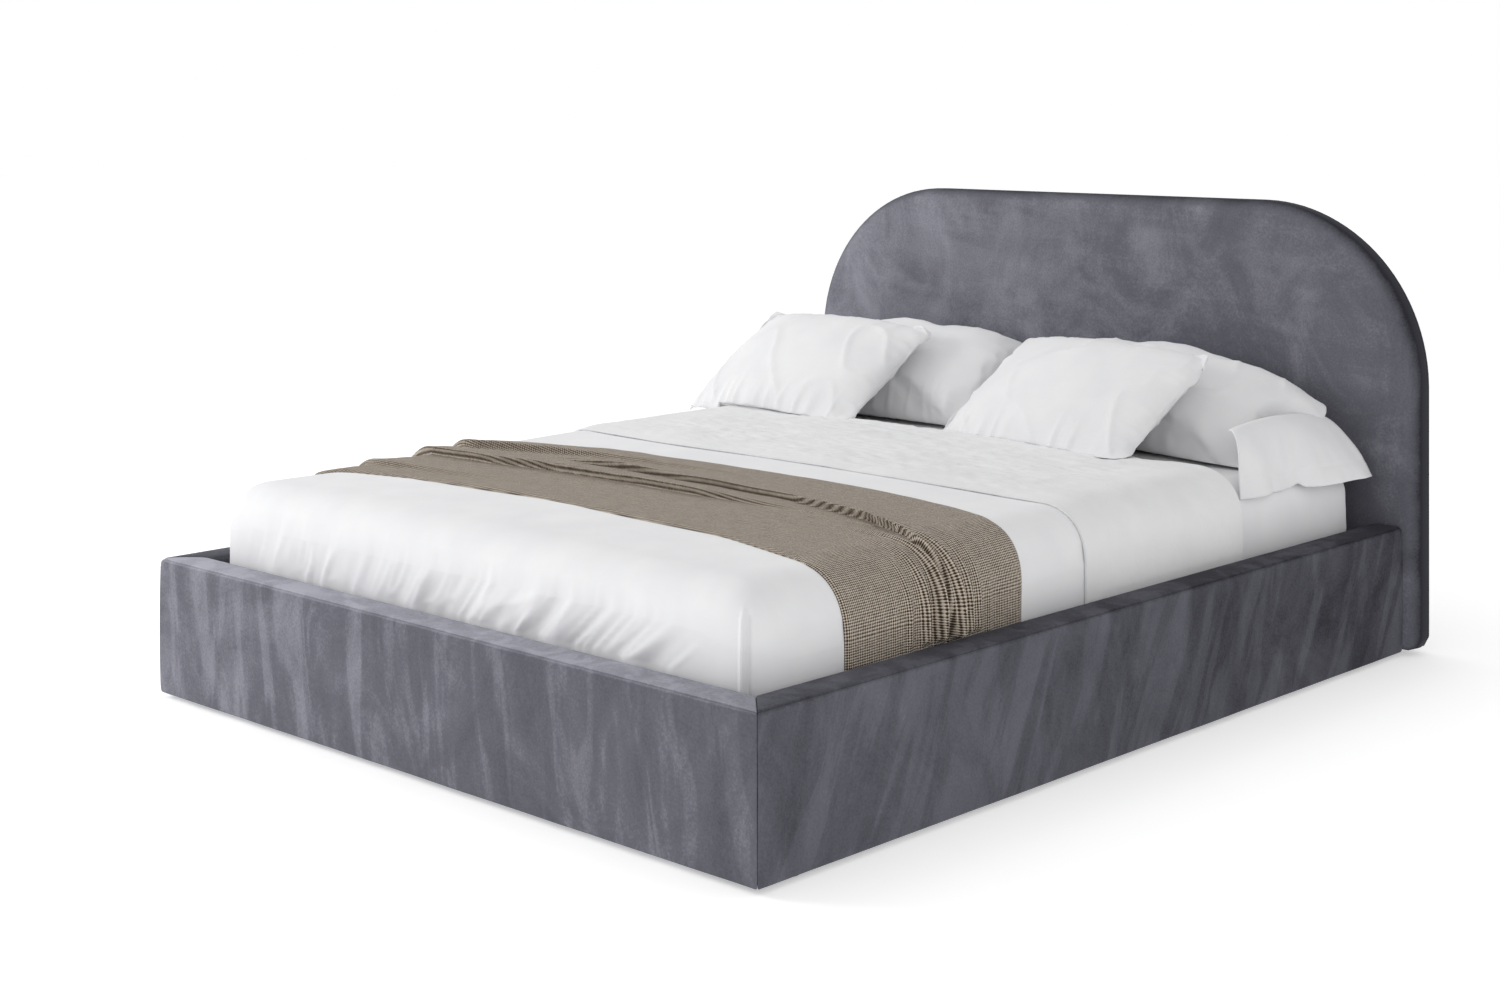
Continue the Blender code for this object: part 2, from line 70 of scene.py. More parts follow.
# ---------------------------------------------------------------- numpy helpers
def smoothstep(value):
    """Eases from 0 to 1 with no slope at either end, held outside that range."""
    value = np.clip(value, 0, 1)
    return value * value * (3 - 2 * value)


def bump(value, middle, width):
    """A smooth hill of height 1 and the given half width."""
    return np.exp(-(((value - middle) / width) ** 2))


def noise(x, y, seed):
    """Smooth value noise from -1 to 1: random numbers on a unit lattice, eased between by smoothstep."""
    cells = 257
    lattice = np.random.default_rng(seed).uniform(-1, 1, (cells, cells))
    x, y = np.broadcast_arrays(np.asarray(x, float), np.asarray(y, float))
    cell_x, cell_y = np.floor(x).astype(int), np.floor(y).astype(int)
    ease_x, ease_y = smoothstep(x - cell_x), smoothstep(y - cell_y)

    def value(step_x, step_y):
        return lattice[(cell_x + step_x) % cells, (cell_y + step_y) % cells]

    low = value(0, 0) * (1 - ease_x) + value(1, 0) * ease_x
    high = value(0, 1) * (1 - ease_x) + value(1, 1) * ease_x
    return low * (1 - ease_y) + high * ease_y


def layered_noise(x, y, seed, octaves=3):
    """Noise summed over octaves, each twice as fine and half as strong."""
    total = 0.0
    for octave in range(octaves):
        total = total + noise(x * 2**octave, y * 2**octave, seed + octave) / 2**octave
    return total


def grid_faces(rows, columns, closed_rows, closed_columns):
    """Quads between neighbours of a grid of points numbered row by row."""
    row = np.arange(rows if closed_rows else rows - 1)
    column = np.arange(columns if closed_columns else columns - 1)
    row, column = (part.ravel() for part in np.meshgrid(row, column, indexing="ij"))
    next_row, next_column = (row + 1) % rows, (column + 1) % columns
    return np.stack(
        [
            row * columns + column,
            next_row * columns + column,
            next_row * columns + next_column,
            row * columns + next_column,
        ],
        axis=1,
    )


def new_piece(name, points, faces, uv=None, merge=False):
    """A mesh object from arrays of points and quads, with its normals made to agree."""
    mesh = bpy.data.meshes.new(name)
    mesh.vertices.add(len(points))
    mesh.vertices.foreach_set("co", np.asarray(points, np.float32).ravel())
    mesh.loops.add(faces.size)
    mesh.loops.foreach_set("vertex_index", faces.astype(np.int32).ravel())
    mesh.polygons.add(len(faces))
    mesh.polygons.foreach_set("loop_start", np.arange(len(faces), dtype=np.int32) * faces.shape[1])
    mesh.update(calc_edges=True)
    if uv is not None:
        layer = mesh.uv_layers.new(name="cloth")
        layer.data.foreach_set("uv", uv[faces.ravel()].astype(np.float32).ravel())
    shape = bmesh.new()
    shape.from_mesh(mesh)
    if merge:
        bmesh.ops.remove_doubles(shape, verts=shape.verts, dist=1e-6)
    bmesh.ops.dissolve_degenerate(shape, edges=shape.edges, dist=1e-7)
    bmesh.ops.recalc_face_normals(shape, faces=shape.faces)
    shape.to_mesh(mesh)
    shape.free()
    mesh.shade_smooth()
    made = bpy.data.objects.new(name, mesh)
    bpy.context.scene.collection.objects.link(made)
    return made


def grid_piece(name, points, closed_rows=False, closed_columns=False, uv=None, merge=False):
    """A mesh object from a grid of points, with quads between neighbours."""
    rows, columns = points.shape[:2]
    faces = grid_faces(rows, columns, closed_rows, closed_columns)
    flat_uv = None if uv is None else uv.reshape(-1, 2)
    return new_piece(name, points.reshape(-1, 3), faces, flat_uv, merge)


def face_up(piece):
    """Turns an open sheet so that its faces point up on the whole."""
    total = sum((face.normal.z * face.area for face in piece.data.polygons), 0.0)
    if total < 0:
        piece.data.flip_normals()


def thicken(piece, thickness, offset=-1.0):
    """Gives a sheet its thickness, below its faces unless the offset says otherwise."""
    solid = piece.modifiers.new("Thickness", "SOLIDIFY")
    solid.thickness = thickness
    solid.offset = offset


def grid_normals(points):
    """Unit normals of a grid of points, from the cross product of its two directions."""
    along = np.gradient(points, axis=0)
    across = np.gradient(points, axis=1)
    normal = np.cross(along, across)
    length = np.linalg.norm(normal, axis=2, keepdims=True)
    return normal / np.maximum(length, 1e-12)


def outward_normals(points):
    """Unit normals of a cloth over the bed, turned to point up on top and away from the bed at its
    sides."""
    normal = grid_normals(points)
    outward = normal[..., 2:3] + np.sign(points[..., :1]) * normal[..., :1]
    return normal * np.where(outward < 0, -1, 1)


# ---------------------------------------------------------------- node helper and colours
def linear(code):
    """An sRGB hex colour as linear RGBA."""
    parts = [int(code[i : i + 2], 16) / 255 for i in (1, 3, 5)]
    return (*[c / 12.92 if c <= 0.04045 else ((c + 0.055) / 1.055) ** 2.4 for c in parts], 1.0)


def add_node(material, kind, settings=None, **inputs):
    """Adds a node. Settings are its properties, and stops are a colour ramp's (place, hex colour) pairs.
    Inputs are numbers, colours or other nodes' sockets, and i0, i1 name them by number."""
    tree = material.node_tree
    node = tree.nodes.new(kind)
    for key, value in (settings or {}).items():
        if key != "stops":
            setattr(node, key, value)
            continue
        elements = node.color_ramp.elements
        while len(elements) < len(value):
            elements.new(0.5)
        for element, (place, colour) in zip(elements, value):
            element.position = place
            element.color = linear(colour)
    for key, value in inputs.items():
        spot = int(key[1:]) if key[0] == "i" and key[1:].isdigit() else key.replace("_", " ")
        socket = node.inputs[spot]
        if isinstance(value, bpy.types.NodeSocket):
            tree.links.new(value, socket)
        else:
            socket.default_value = value
    return node


def new_material(name, **constants):
    """A material and its shader, with the shader's inputs set to the constants."""
    material = bpy.data.materials.new(name)
    material.use_nodes = True
    shader = material.node_tree.nodes["Principled BSDF"]
    for key, value in constants.items():
        shader.inputs[key.replace("_", " ")].default_value = value
    return material, shader


def paint(material, shader, value, stops):
    """Colours the surface by a value, through (place, hex colour) stops."""
    colour = add_node(material, "ShaderNodeValToRGB", {"stops": stops}, Fac=value)
    material.node_tree.links.new(colour.outputs["Color"], shader.inputs["Base Color"])


def emboss(material, shader, height, strength, distance):
    """Raises the surface by a value, by up to a distance in metres."""
    relief = add_node(
        material, "ShaderNodeBump", None, Strength=strength, Distance=distance, Height=height
    )
    material.node_tree.links.new(relief.outputs["Normal"], shader.inputs["Normal"])


def object_place(material, scale=(1, 1, 1)):
    """Object coordinates in metres, stretched by a scale."""
    place = add_node(material, "ShaderNodeTexCoord").outputs["Object"]
    return add_node(material, "ShaderNodeMapping", None, Vector=place, Scale=scale).outputs["Vector"]


def cloth_place(material, scale=(1, 1, 1)):
    """The sheet's own UV map, which is in metres of cloth."""
    place = add_node(material, "ShaderNodeUVMap", {"uv_map": "cloth"}).outputs["UV"]
    return add_node(material, "ShaderNodeMapping", None, Vector=place, Scale=scale).outputs["Vector"]


def weigh(material, terms):
    """The sum of sockets, each times its own gain."""
    total = 0.0
    for socket, gain in terms:
        total = add_node(
            material, "ShaderNodeMath", {"operation": "MULTIPLY_ADD"}, i0=socket, i1=gain, i2=total
        ).outputs[0]
    return total


# ---------------------------------------------------------------- materials
# Scales of patterns, in repeats to a metre. The comments give the size of one repeat.
PILE_PATCH = 5.5  # 180 mm, an area that was brushed one way
HAND_STROKE = 15.0  # 67 mm across, drawn out six times along the stroke
PILE_TUFT = 210.0  # 5 mm: single tufts are finer, so they are drawn this coarse to show
PILE_NAP = 900.0  # 1.1 mm
COTTON_CLOUD = 9.0  # 110 mm, uneven bleaching
COTTON_THREAD = 1000.0 / 0.9  # 0.9 mm: real threads are finer, so they are drawn this coarse to show
COTTON_CREASE = 26.0  # 38 mm, creases pressed in by washing
TWILL_WAVE = 0.0095  # metres: each wave's length, so the dashes are half of it, 4.75 mm, apart
YARN_STREAK = 22.0  # 45 mm along a yarn and 6 mm across it
YARN_FLECK = 230.0  # 4.3 mm, slubs in the yarn
RING_STRETCH, RING_SCALE = 34.0, 2.2  # growth rings 13 mm wide
BOARD_FLECK = 260.0  # 3.8 mm, a bundle of fibres
HANDLING_MARK = 38.0  # 26 mm
ROLLING_LINE = 160.0  # 6 mm, and eight times finer in height
MOULD_GRAIN = 900.0  # 1.1 mm
BOND_DOT = 500.0  # 2 mm
WEB_RIB = 98.0  # a wave texture's own unit: ribs 3.2 mm apart


def velvet_material(name, lean, axis, painted_light_gradient, painted_top_light=0.0, painted_edge_shade=0.0, stroke=1.0):
    """Brushed polyester velvet. The pile lies one way here and another there, so broad patches look
    lighter or darker, and strokes of a hand show with one crisp border. Light and shade are painted
    over this. The painted light gradient makes the colour lighter or darker from one end of the given
    axis to the other. The painted top light makes a band along the top lighter or darker. The painted
    edge shade darkens faces that turn away from the front and back. So each panel is a differently lit
    copy of one velvet. Lean is the slant of the strokes."""
    material, shader = new_material(
        name, Roughness=0.86, Sheen_Weight=0.12, Sheen_Roughness=0.5, Specular_IOR_Level=0.16
    )
    shader.inputs["Sheen Tint"].default_value = linear("#b4b4c0")
    place = object_place(material)
    parts = add_node(material, "ShaderNodeSeparateXYZ", None, Vector=place)
    patches = add_node(
        material,
        "ShaderNodeTexNoise",
        None,
        Vector=object_place(material, (1.0, 1.0, 0.7)),
        Scale=PILE_PATCH,
        Detail=7.0,
        Roughness=0.66,
        Distortion=0.9,
    )
    slanted = add_node(material, "ShaderNodeMapping", None, Vector=place, Rotation=lean)
    drawn = add_node(
        material, "ShaderNodeMapping", None, Vector=slanted.outputs["Vector"], Scale=(1.0, 1.0, 0.16)
    )
    strokes = add_node(
        material,
        "ShaderNodeTexNoise",
        None,
        Vector=drawn.outputs["Vector"],
        Scale=HAND_STROKE,
        Detail=3.0,
        Roughness=0.55,
        Distortion=0.7,
    ).outputs["Fac"]
    grain = add_node(
        material, "ShaderNodeTexNoise", None, Vector=place, Scale=PILE_TUFT, Detail=3.0, Roughness=0.7
    )
    half = {0: RAIL_X, 1: HEAD_LOW.y}[axis]
    top_starts, top_full = RAIL_TOP - 0.008, RAIL_TOP - 0.001
    carried = {}
    # slide is painted light: the colour grows lighter or darker from end to end of the axis by the painted
    # light gradient. over is a band along the top, painted lighter or darker by the painted top light.
    for part, (value, low, high, to_low, to_high) in {
        "crisp": (strokes, 0.50, 0.555, 0.0, 1.0),
        "soft": (strokes, 0.35, 0.65, 0.0, 1.0),
        "slide": (parts.outputs["XY"[axis]], -half, half, *painted_light_gradient),
        "over": (parts.outputs["Z"], top_starts, top_full, 0.0, 1.0),
    }.items():
        carried[part] = add_node(
            material,
            "ShaderNodeMapRange",
            None,
            Value=value,
            From_Min=low,
            From_Max=high,
            To_Min=to_low,
            To_Max=to_high,
        ).outputs["Result"]
    # Painted shade: faces turned sideways, away from the front and back, are darkened by the painted edge
    # shade, so rounded edges read as if in shade.
    normal = add_node(material, "ShaderNodeTexCoord").outputs["Normal"]
    facing = add_node(material, "ShaderNodeSeparateXYZ", None, Vector=normal)
    frontal = add_node(material, "ShaderNodeMath", {"operation": "ABSOLUTE"}, i0=facing.outputs["Y"])
    value = weigh(
        material,
        [
            (patches.outputs["Fac"], 0.62),
            (carried["crisp"], 0.055 * stroke),
            (carried["soft"], 0.10 * stroke),
            (grain.outputs["Fac"], 0.34),
            (carried["slide"], 1.0),
            (carried["over"], painted_top_light),
            (frontal.outputs[0], -painted_edge_shade),
        ],
    )
    # The base takes the painted edge shade back off, so faces looking to the front or back keep their level
    # and only the turned faces are painted darker.
    base = painted_edge_shade + 0.03 - 0.08 * stroke
    level = add_node(material, "ShaderNodeMath", {"operation": "ADD"}, i0=value, i1=base)
    paint(material, shader, level.outputs[0], [(0.0, "#24242b"), (0.5, "#62626b"), (1.0, "#a6a6b0")])
    nap = add_node(material, "ShaderNodeTexNoise", None, Vector=place, Scale=PILE_NAP, Detail=1.0)
    emboss(material, shader, nap.outputs["Fac"], 0.3, 0.0008)
    return material


def cotton_material(name, colour, crinkle):
    """Washed cotton percale: a plain weave too fine to see, drawn at about 1 mm so that it just breaks
    the surface up, with soft pressed-in creases where crinkle is above zero."""
    material, shader = new_material(
        name, Roughness=0.9, Sheen_Weight=0.15, Sheen_Roughness=0.6, Specular_IOR_Level=0.2
    )
    place = object_place(material)
    tint = add_node(material, "ShaderNodeTexNoise", None, Vector=place, Scale=COTTON_CLOUD, Detail=3.0)
    paint(material, shader, tint.outputs["Fac"], [(0.3, colour[0]), (0.7, colour[1])])
    weave = add_node(material, "ShaderNodeTexNoise", None, Vector=place, Scale=COTTON_THREAD, Detail=1.0)
    height = weave.outputs["Fac"]
    distance = 0.0002
    if crinkle:
        creases = add_node(
            material,
            "ShaderNodeTexNoise",
            {"noise_type": "RIDGED_MULTIFRACTAL"},
            Vector=object_place(material, (1.0, 2.6, 1.0)),
            Scale=COTTON_CREASE,
            Detail=4.0,
            Roughness=0.5,
            Distortion=1.4,
        )
        height = add_node(
            material,
            "ShaderNodeMath",
            {"operation": "MULTIPLY_ADD"},
            i0=weave.outputs["Fac"],
            i1=0.06,
            i2=creases.outputs["Fac"],
        ).outputs[0]
        distance = 0.0016 * crinkle
    emboss(material, shader, height, 0.6, distance)
    return material


def twill_material(name):
    """Wool twill in two browns. Dark warp and pale weft threads float over one another in groups, so
    short dashes in a check 4.75 mm apart are what shows, uneven from thread to thread."""
    material, shader = new_material(
        name, Roughness=0.95, Sheen_Weight=0.15, Sheen_Roughness=0.5, Specular_IOR_Level=0.12
    )
    parts = add_node(material, "ShaderNodeSeparateXYZ", None, Vector=cloth_place(material))
    turn = 2 * math.pi / TWILL_WAVE
    waves = []
    for way, start in (("ADD", 0.0), ("SUBTRACT", 0.6)):
        crossing = add_node(
            material, "ShaderNodeMath", {"operation": way}, i0=parts.outputs["X"], i1=parts.outputs["Y"]
        ).outputs[0]
        turned = add_node(
            material, "ShaderNodeMath", {"operation": "MULTIPLY_ADD"}, i0=crossing, i1=turn, i2=start
        ).outputs[0]
        waves.append(add_node(material, "ShaderNodeMath", {"operation": "SINE"}, i0=turned).outputs[0])
    dash = add_node(
        material, "ShaderNodeMath", {"operation": "MULTIPLY"}, i0=waves[0], i1=waves[1]
    ).outputs[0]
    terms = [(dash, 1.05)]
    for stretch, scale, detail, gain in (
        ((1, 7, 1), YARN_STREAK, 3.0, 0.55),
        ((7, 1, 1), YARN_STREAK, 3.0, 0.45),
        ((1, 1, 1), YARN_FLECK, 2.0, 1.30),
    ):
        yarn = add_node(
            material,
            "ShaderNodeTexNoise",
            None,
            Vector=cloth_place(material, stretch),
            Scale=scale,
            Detail=detail,
        )
        terms.append((yarn.outputs["Fac"], gain))
    shade = weigh(material, terms)
    level = add_node(material, "ShaderNodeMath", {"operation": "ADD"}, i0=shade, i1=-0.60).outputs[0]
    paint(
        material,
        shader,
        level,
        [(0.05, "#3a2f26"), (0.38, "#7b6e60"), (0.60, "#9d8f81"), (0.95, "#d0c5b6")],
    )
    emboss(material, shader, level, 0.8, 0.0014)
    return material


def wood_material(name, pale, dark, length_axis, gloss=0.55):
    """Softwood: growth rings drawn out along the board and faintly embossed. Sawn faces are rougher than
    planed ones."""
    material, shader = new_material(name, Roughness=gloss, Specular_IOR_Level=0.4)
    stretch = [RING_STRETCH] * 3
    stretch[length_axis] = 1.2
    rings = add_node(
        material,
        "ShaderNodeTexNoise",
        None,
        Vector=object_place(material, tuple(stretch)),
        Scale=RING_SCALE,
        Detail=6.0,
        Roughness=0.65,
        Distortion=0.8,
    ).outputs["Fac"]
    paint(material, shader, rings, [(0.3, dark), (0.5, pale), (0.72, dark)])
    emboss(material, shader, rings, 0.3, 0.0004)
    return material


def board_material(name):
    """Raw fibreboard: pressed brown fibres, a fine even fleck with no grain direction."""
    material, shader = new_material(name, Roughness=0.8, Specular_IOR_Level=0.3)
    fleck = add_node(
        material, "ShaderNodeTexNoise", None, Vector=object_place(material), Scale=BOARD_FLECK, Detail=4.0
    )
    paint(material, shader, fleck.outputs["Fac"], [(0.3, "#8f7252"), (0.55, "#a98b66"), (0.8, "#bfa37d")])
    return material


def metal_material(name, colour, metallic, roughness, grain=0.0, worn=0.06):
    """Painted, plated or polished steel. Roughness varies a little with handling marks, and plating
    shows fine rolling lines where grain is above zero."""
    material, shader = new_material(name, Metallic=metallic)
    marks = add_node(
        material, "ShaderNodeTexNoise", None, Vector=object_place(material), Scale=HANDLING_MARK, Detail=4.0
    )
    spread = add_node(
        material,
        "ShaderNodeMapRange",
        None,
        Value=marks.outputs["Fac"],
        To_Min=roughness - worn,
        To_Max=roughness + worn,
    )
    material.node_tree.links.new(spread.outputs["Result"], shader.inputs["Roughness"])
    tone = add_node(
        material,
        "ShaderNodeTexNoise",
        None,
        Vector=object_place(material, (1, 1, 8)),
        Scale=ROLLING_LINE,
        Detail=3.0,
    ).outputs["Fac"]
    paint(material, shader, tone, [(0.3, colour[0]), (0.7, colour[1])])
    if grain:
        emboss(material, shader, tone, grain, 0.0003)
    return material


def plastic_material(name, colour, roughness):
    """Moulded polypropylene with a fine spark-eroded texture."""
    material, shader = new_material(name, Roughness=roughness)
    grain = add_node(
        material, "ShaderNodeTexNoise", None, Vector=object_place(material), Scale=MOULD_GRAIN, Detail=2.0
    ).outputs["Fac"]
    paint(material, shader, grain, [(0.3, colour[0]), (0.7, colour[1])])
    emboss(material, shader, grain, 0.3, 0.0002)
    return material


def dust_cloth_material(name):
    """Black spunbonded dust cloth: a felt of pressed fibres with a faint grid of bonding dots."""
    material, shader = new_material(name, Roughness=0.95, Specular_IOR_Level=0.2)
    dots = add_node(
        material,
        "ShaderNodeTexVoronoi",
        None,
        Vector=object_place(material),
        Scale=BOND_DOT,
        Randomness=0.15,
    ).outputs["Distance"]
    paint(material, shader, dots, [(0.15, "#101012"), (0.5, "#26262a")])
    emboss(material, shader, dots, 0.4, 0.0003)
    return material


def web_material(name):
    """Woven polyester webbing: tight ribs across the strap, drawn about twice as wide as real ones so
    that they show."""
    material, shader = new_material(name, Roughness=0.75, Sheen_Weight=0.2)
    ribs = add_node(
        material,
        "ShaderNodeTexWave",
        {"wave_type": "BANDS", "bands_direction": "X"},
        Vector=object_place(material),
        Scale=WEB_RIB,
        Distortion=0.6,
    ).outputs["Fac"]
    paint(material, shader, ribs, [(0.2, "#16161a"), (0.8, "#3a3a42")])
    emboss(material, shader, ribs, 0.6, 0.0006)
    return material


# Three copies of one velvet, each with painted light and shade of its own. The foot rail is painted lighter
# to the left and on its top. The side rails are painted darker towards the head and on their top. The
# headboard is painted lighter to the left and darker at its rounded edges.
VELVET_RAIL_SIDE = velvet_material("velvet_side_rail_painted_light", (0.42, 0, 0), 1, (-0.13, -0.36), -0.14)
VELVET_RAIL_FOOT = velvet_material("velvet_foot_rail_painted_light", (0, 0.10, 0), 0, (0.08, -0.07), 0.36)
VELVET_HEAD = velvet_material("velvet_headboard_painted_light", (0, 1.45, 0), 0, (0.16, -0.02), 0.0, -0.75, 0.25)
COTTON = cotton_material("washed_cotton", ("#e1e1e3", "#e7e7e8"), 0.0)
PILLOW_COTTON = cotton_material("pillowcase_cotton", ("#dfdfe1", "#e5e5e6"), 0.35)
SHEET_COTTON = cotton_material("fitted_sheet_cotton", ("#e0e0e2", "#e5e5e6"), 0.0)
CRINKLED = cotton_material("crinkled_cotton", ("#dededf", "#e5e5e6"), 1.0)
TWILL = twill_material("brown_wool_twill")
PINE = wood_material("planed_pine", "#d9b98c", "#c49a66", 0)
SPRUCE = wood_material("sawn_spruce", "#cfae80", "#b48a58", 1, 0.7)
BOARD = board_material("raw_fibreboard")
DUST_CLOTH = dust_cloth_material("black_dust_cloth")
GLIDE = plastic_material("black_polypropylene", ("#141416", "#1f1f22"), 0.5)
# Black plastic for the strip that stands in for the shade in the storage floor's gap.
GAP_SHADE_PLASTIC = plastic_material("black_gap_shade_plastic", ("#232326", "#2d2d31"), 0.6)
ZINC = metal_material("zinc_plated_steel", ("#b8babd", "#cfd1d3"), 1.0, 0.34, 0.15)
POWDER = metal_material("graphite_powder_coat", ("#3a3d40", "#45484c"), 0.0, 0.48, 0.25)
ENAMEL = metal_material("black_enamelled_steel", ("#0d0d0f", "#17171a"), 0.0, 0.25)
CHROME = metal_material("hard_chromed_steel", ("#d8dadd", "#e4e6e8"), 1.0, 0.10, 0.0, 0.03)
WEBBING = web_material("polyester_webbing")


def dress_nodes():
    """Every carried-over CAD node gets its finish."""
    finishes = (
        (("support_ledge", "side_rail_core"), SPRUCE),
        (("foot_rail_core", "headboard_core"), SPRUCE),
        (("head_cross_board", "storage_floor"), BOARD),
        (("headboard_back_cloth",), DUST_CLOTH),
        (("glide",), GLIDE),
        (("corner_bracket", "headboard_bracket"), ZINC),
        (("hinge_base", "rear_arm", "front_arm", "lift_"), POWDER),
        (("strut_cylinder",), ENAMEL),
        (("strut_rod",), CHROME),
        (("slat_",), PINE),
        (("pull_strap",), WEBBING),
    )
    for name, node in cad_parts.items():
        for starts, finish in finishes:
            if name.startswith(starts):
                node.data.materials.clear()
                node.data.materials.append(finish)


# ---------------------------------------------------------------- velvet rails and headboard
RAIL_ROUND = 0.010
SEAM_DEPTH = 0.0028
SEAM_ANGLE, SEAM_SPREAD = 50, 9  # degrees round the top outer corner
RAIL_SWELL, TOP_SWELL = 0.0025, 0.0015
HEAD_ARCH = 0.425
HEAD_FOOT_CORNER = 0.035


def rail_section():
    """A closed loop round the padded rail, as (depth from the outer face, height). The outer face
    swells by 2.5 mm between its edges, both top corners are arcs, and a fine groove marks the seam
    where the top panel meets the outer one."""
    depth, low, top, r = RAIL_X - RAIL_INNER_X, RAIL_LOW, RAIL_TOP, RAIL_ROUND
    foot = 0.006

    def corner(centre, radius, start, end, steps):
        angle = np.radians(np.linspace(start, end, steps))
        return np.stack([centre[0] + radius * np.cos(angle), centre[1] + radius * np.sin(angle)], axis=1)

    up = np.linspace(low + foot, top - r, 34)[1:-1]
    outer = np.stack([np.zeros_like(up), up], axis=1)
    outer[:, 0] -= RAIL_SWELL * np.sin(np.pi * (up - low) / (top - low)) ** 0.7
    across = np.linspace(r, depth - r, 14)[1:-1]
    over = np.stack([across, np.full_like(across, top)], axis=1)
    over[:, 1] += TOP_SWELL * np.sin(np.pi * across / depth)
    down = np.linspace(top - r, low + foot, 14)[1:-1]
    inner = np.stack([np.full_like(down, depth), down], axis=1)
    under = np.linspace(depth - foot, foot, 10)[1:-1]
    bottom = np.stack([under, np.full_like(under, low)], axis=1)
    first = corner((r, top - r), r, 180, 90, 22)
    inward = np.stack([r - first[:, 0], (top - r) - first[:, 1]], axis=1) / r
    groove = bump(np.linspace(0, 90, 22), SEAM_ANGLE, SEAM_SPREAD)[:, None]
    first = first + inward * SEAM_DEPTH * groove
    return np.concatenate(
        [
            corner((foot, low + foot), foot, 270, 180, 5),
            outer,
            first,
            over,
            corner((depth - r, top - r), r, 90, 0, 8),
            inner,
            corner((depth - foot, low + foot), foot, 0, -90, 5),
            bottom,
        ]
    )


def end_rounding(stations, length, radius):
    """Shrinks the section towards its middle near an end, as a quarter circle of that radius."""
    near = np.clip(1 - np.minimum(stations, length - stations) / radius, 0, 1)
    return radius * (1 - np.sqrt(np.maximum(1 - near**2, 0)))


def rail_stations(length, count, radius):
    """Distances along a rail, close together in the rounded ends."""
    ends = radius * (1 - np.cos(np.linspace(0, np.pi / 2, 6)))
    middle = np.linspace(radius, length - radius, count)
    return np.concatenate([ends[:-1], middle, (length - ends[:-1])[::-1]])


def make_rail(name, side):
    """The section carried along the rail. Each point's two ends slide by its depth, so a mitred end
    lies in a plane at 45 degrees; the last 4 mm pull in, which leaves a dark seam at the corner."""
    section = rail_section()
    middle = np.array([0.5 * (RAIL_X - RAIL_INNER_X), 0.5 * (RAIL_LOW + RAIL_TOP)])
    radius = 0.004
    half_gap = 0.0004
    foot_rail = side == 0
    length = 2 * RAIL_X if foot_rail else HEAD_LOW.y - FOOT_Y - half_gap
    along = rail_stations(length, 90, radius)
    pull = end_rounding(along, length, radius)[:, None]
    offset = section - middle
    size = np.linalg.norm(offset, axis=1)
    ring = middle + offset[None] * (1 - pull / size[None])[..., None]
    rings = np.concatenate(
        [middle + (ring[:1] - middle) * k for k in (0.0, 0.35, 0.7)]
        + [ring]
        + [middle + (ring[-1:] - middle) * k for k in (0.7, 0.35, 0.0)]
    )
    along = np.concatenate([[0, 0, 0], along, [length] * 3])
    depth, height = rings[..., 0], rings[..., 1]
    share = (along / length)[:, None]
    start = depth + half_gap
    end = length - depth - half_gap if foot_rail else np.full_like(depth, length)
    place = start + (end - start) * share
    if foot_rail:
        points = np.stack([place - RAIL_X, FOOT_Y + depth, height], axis=2)
    else:
        points = np.stack([side * (RAIL_X - depth), FOOT_Y + place, height], axis=2)
    soft = 0.0011 * layered_noise(place * 7, height * 3 + side, 40 + side, 3)
    outward = np.clip(1 - depth / 0.01, 0, 1) * smoothstep((RAIL_TOP - height) / 0.04)
    outward = outward * smoothstep(np.minimum(place, length - place) / 0.03) * soft
    points[..., 1 if foot_rail else 0] -= outward * (1 if foot_rail else -side)
    piece = grid_piece(name, points, closed_columns=True, merge=True)
    piece.data.materials.append(VELVET_RAIL_FOOT if foot_rail else VELVET_RAIL_SIDE)
    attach(piece, BOX)
    node = "foot_rail_upholstery" if foot_rail else f"side_rail_upholstery_{name.split('_')[-1]}"
    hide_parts(node)


def head_loop(inset):
    """The headboard's arched outline moved inwards: straight sides and foot, quarter circles above,
    small quarter circles below, sampled evenly along its length, as (x, z)."""
    half, top = HEAD_HIGH.x - inset, HEAD_HIGH.z - inset
    low = HEAD_LOW.z + inset
    big, small = HEAD_ARCH - inset, max(HEAD_FOOT_CORNER - inset, 0.004)

    def corner(centre, radius, start, end, steps=40):
        angle = np.radians(np.linspace(start, end, steps))
        return np.stack([centre[0] + radius * np.cos(angle), centre[1] + radius * np.sin(angle)], axis=1)

    path = np.concatenate(
        [
            corner((half - small, low + small), small, -90, 0, 12),
            corner((half - big, top - big), big, 0, 90),
            corner((big - half, top - big), big, 90, 180),
            corner((small - half, low + small), small, 180, 270, 12),
        ]
    )
    path = np.concatenate([path, path[:1]])
    step = np.concatenate([[0], np.cumsum(np.linalg.norm(np.diff(path, axis=0), axis=1))])
    points_round = 220
    even = np.linspace(0, step[-1], points_round, endpoint=False)
    return np.stack([np.interp(even, step, path[:, k]) for k in (0, 1)], axis=1)


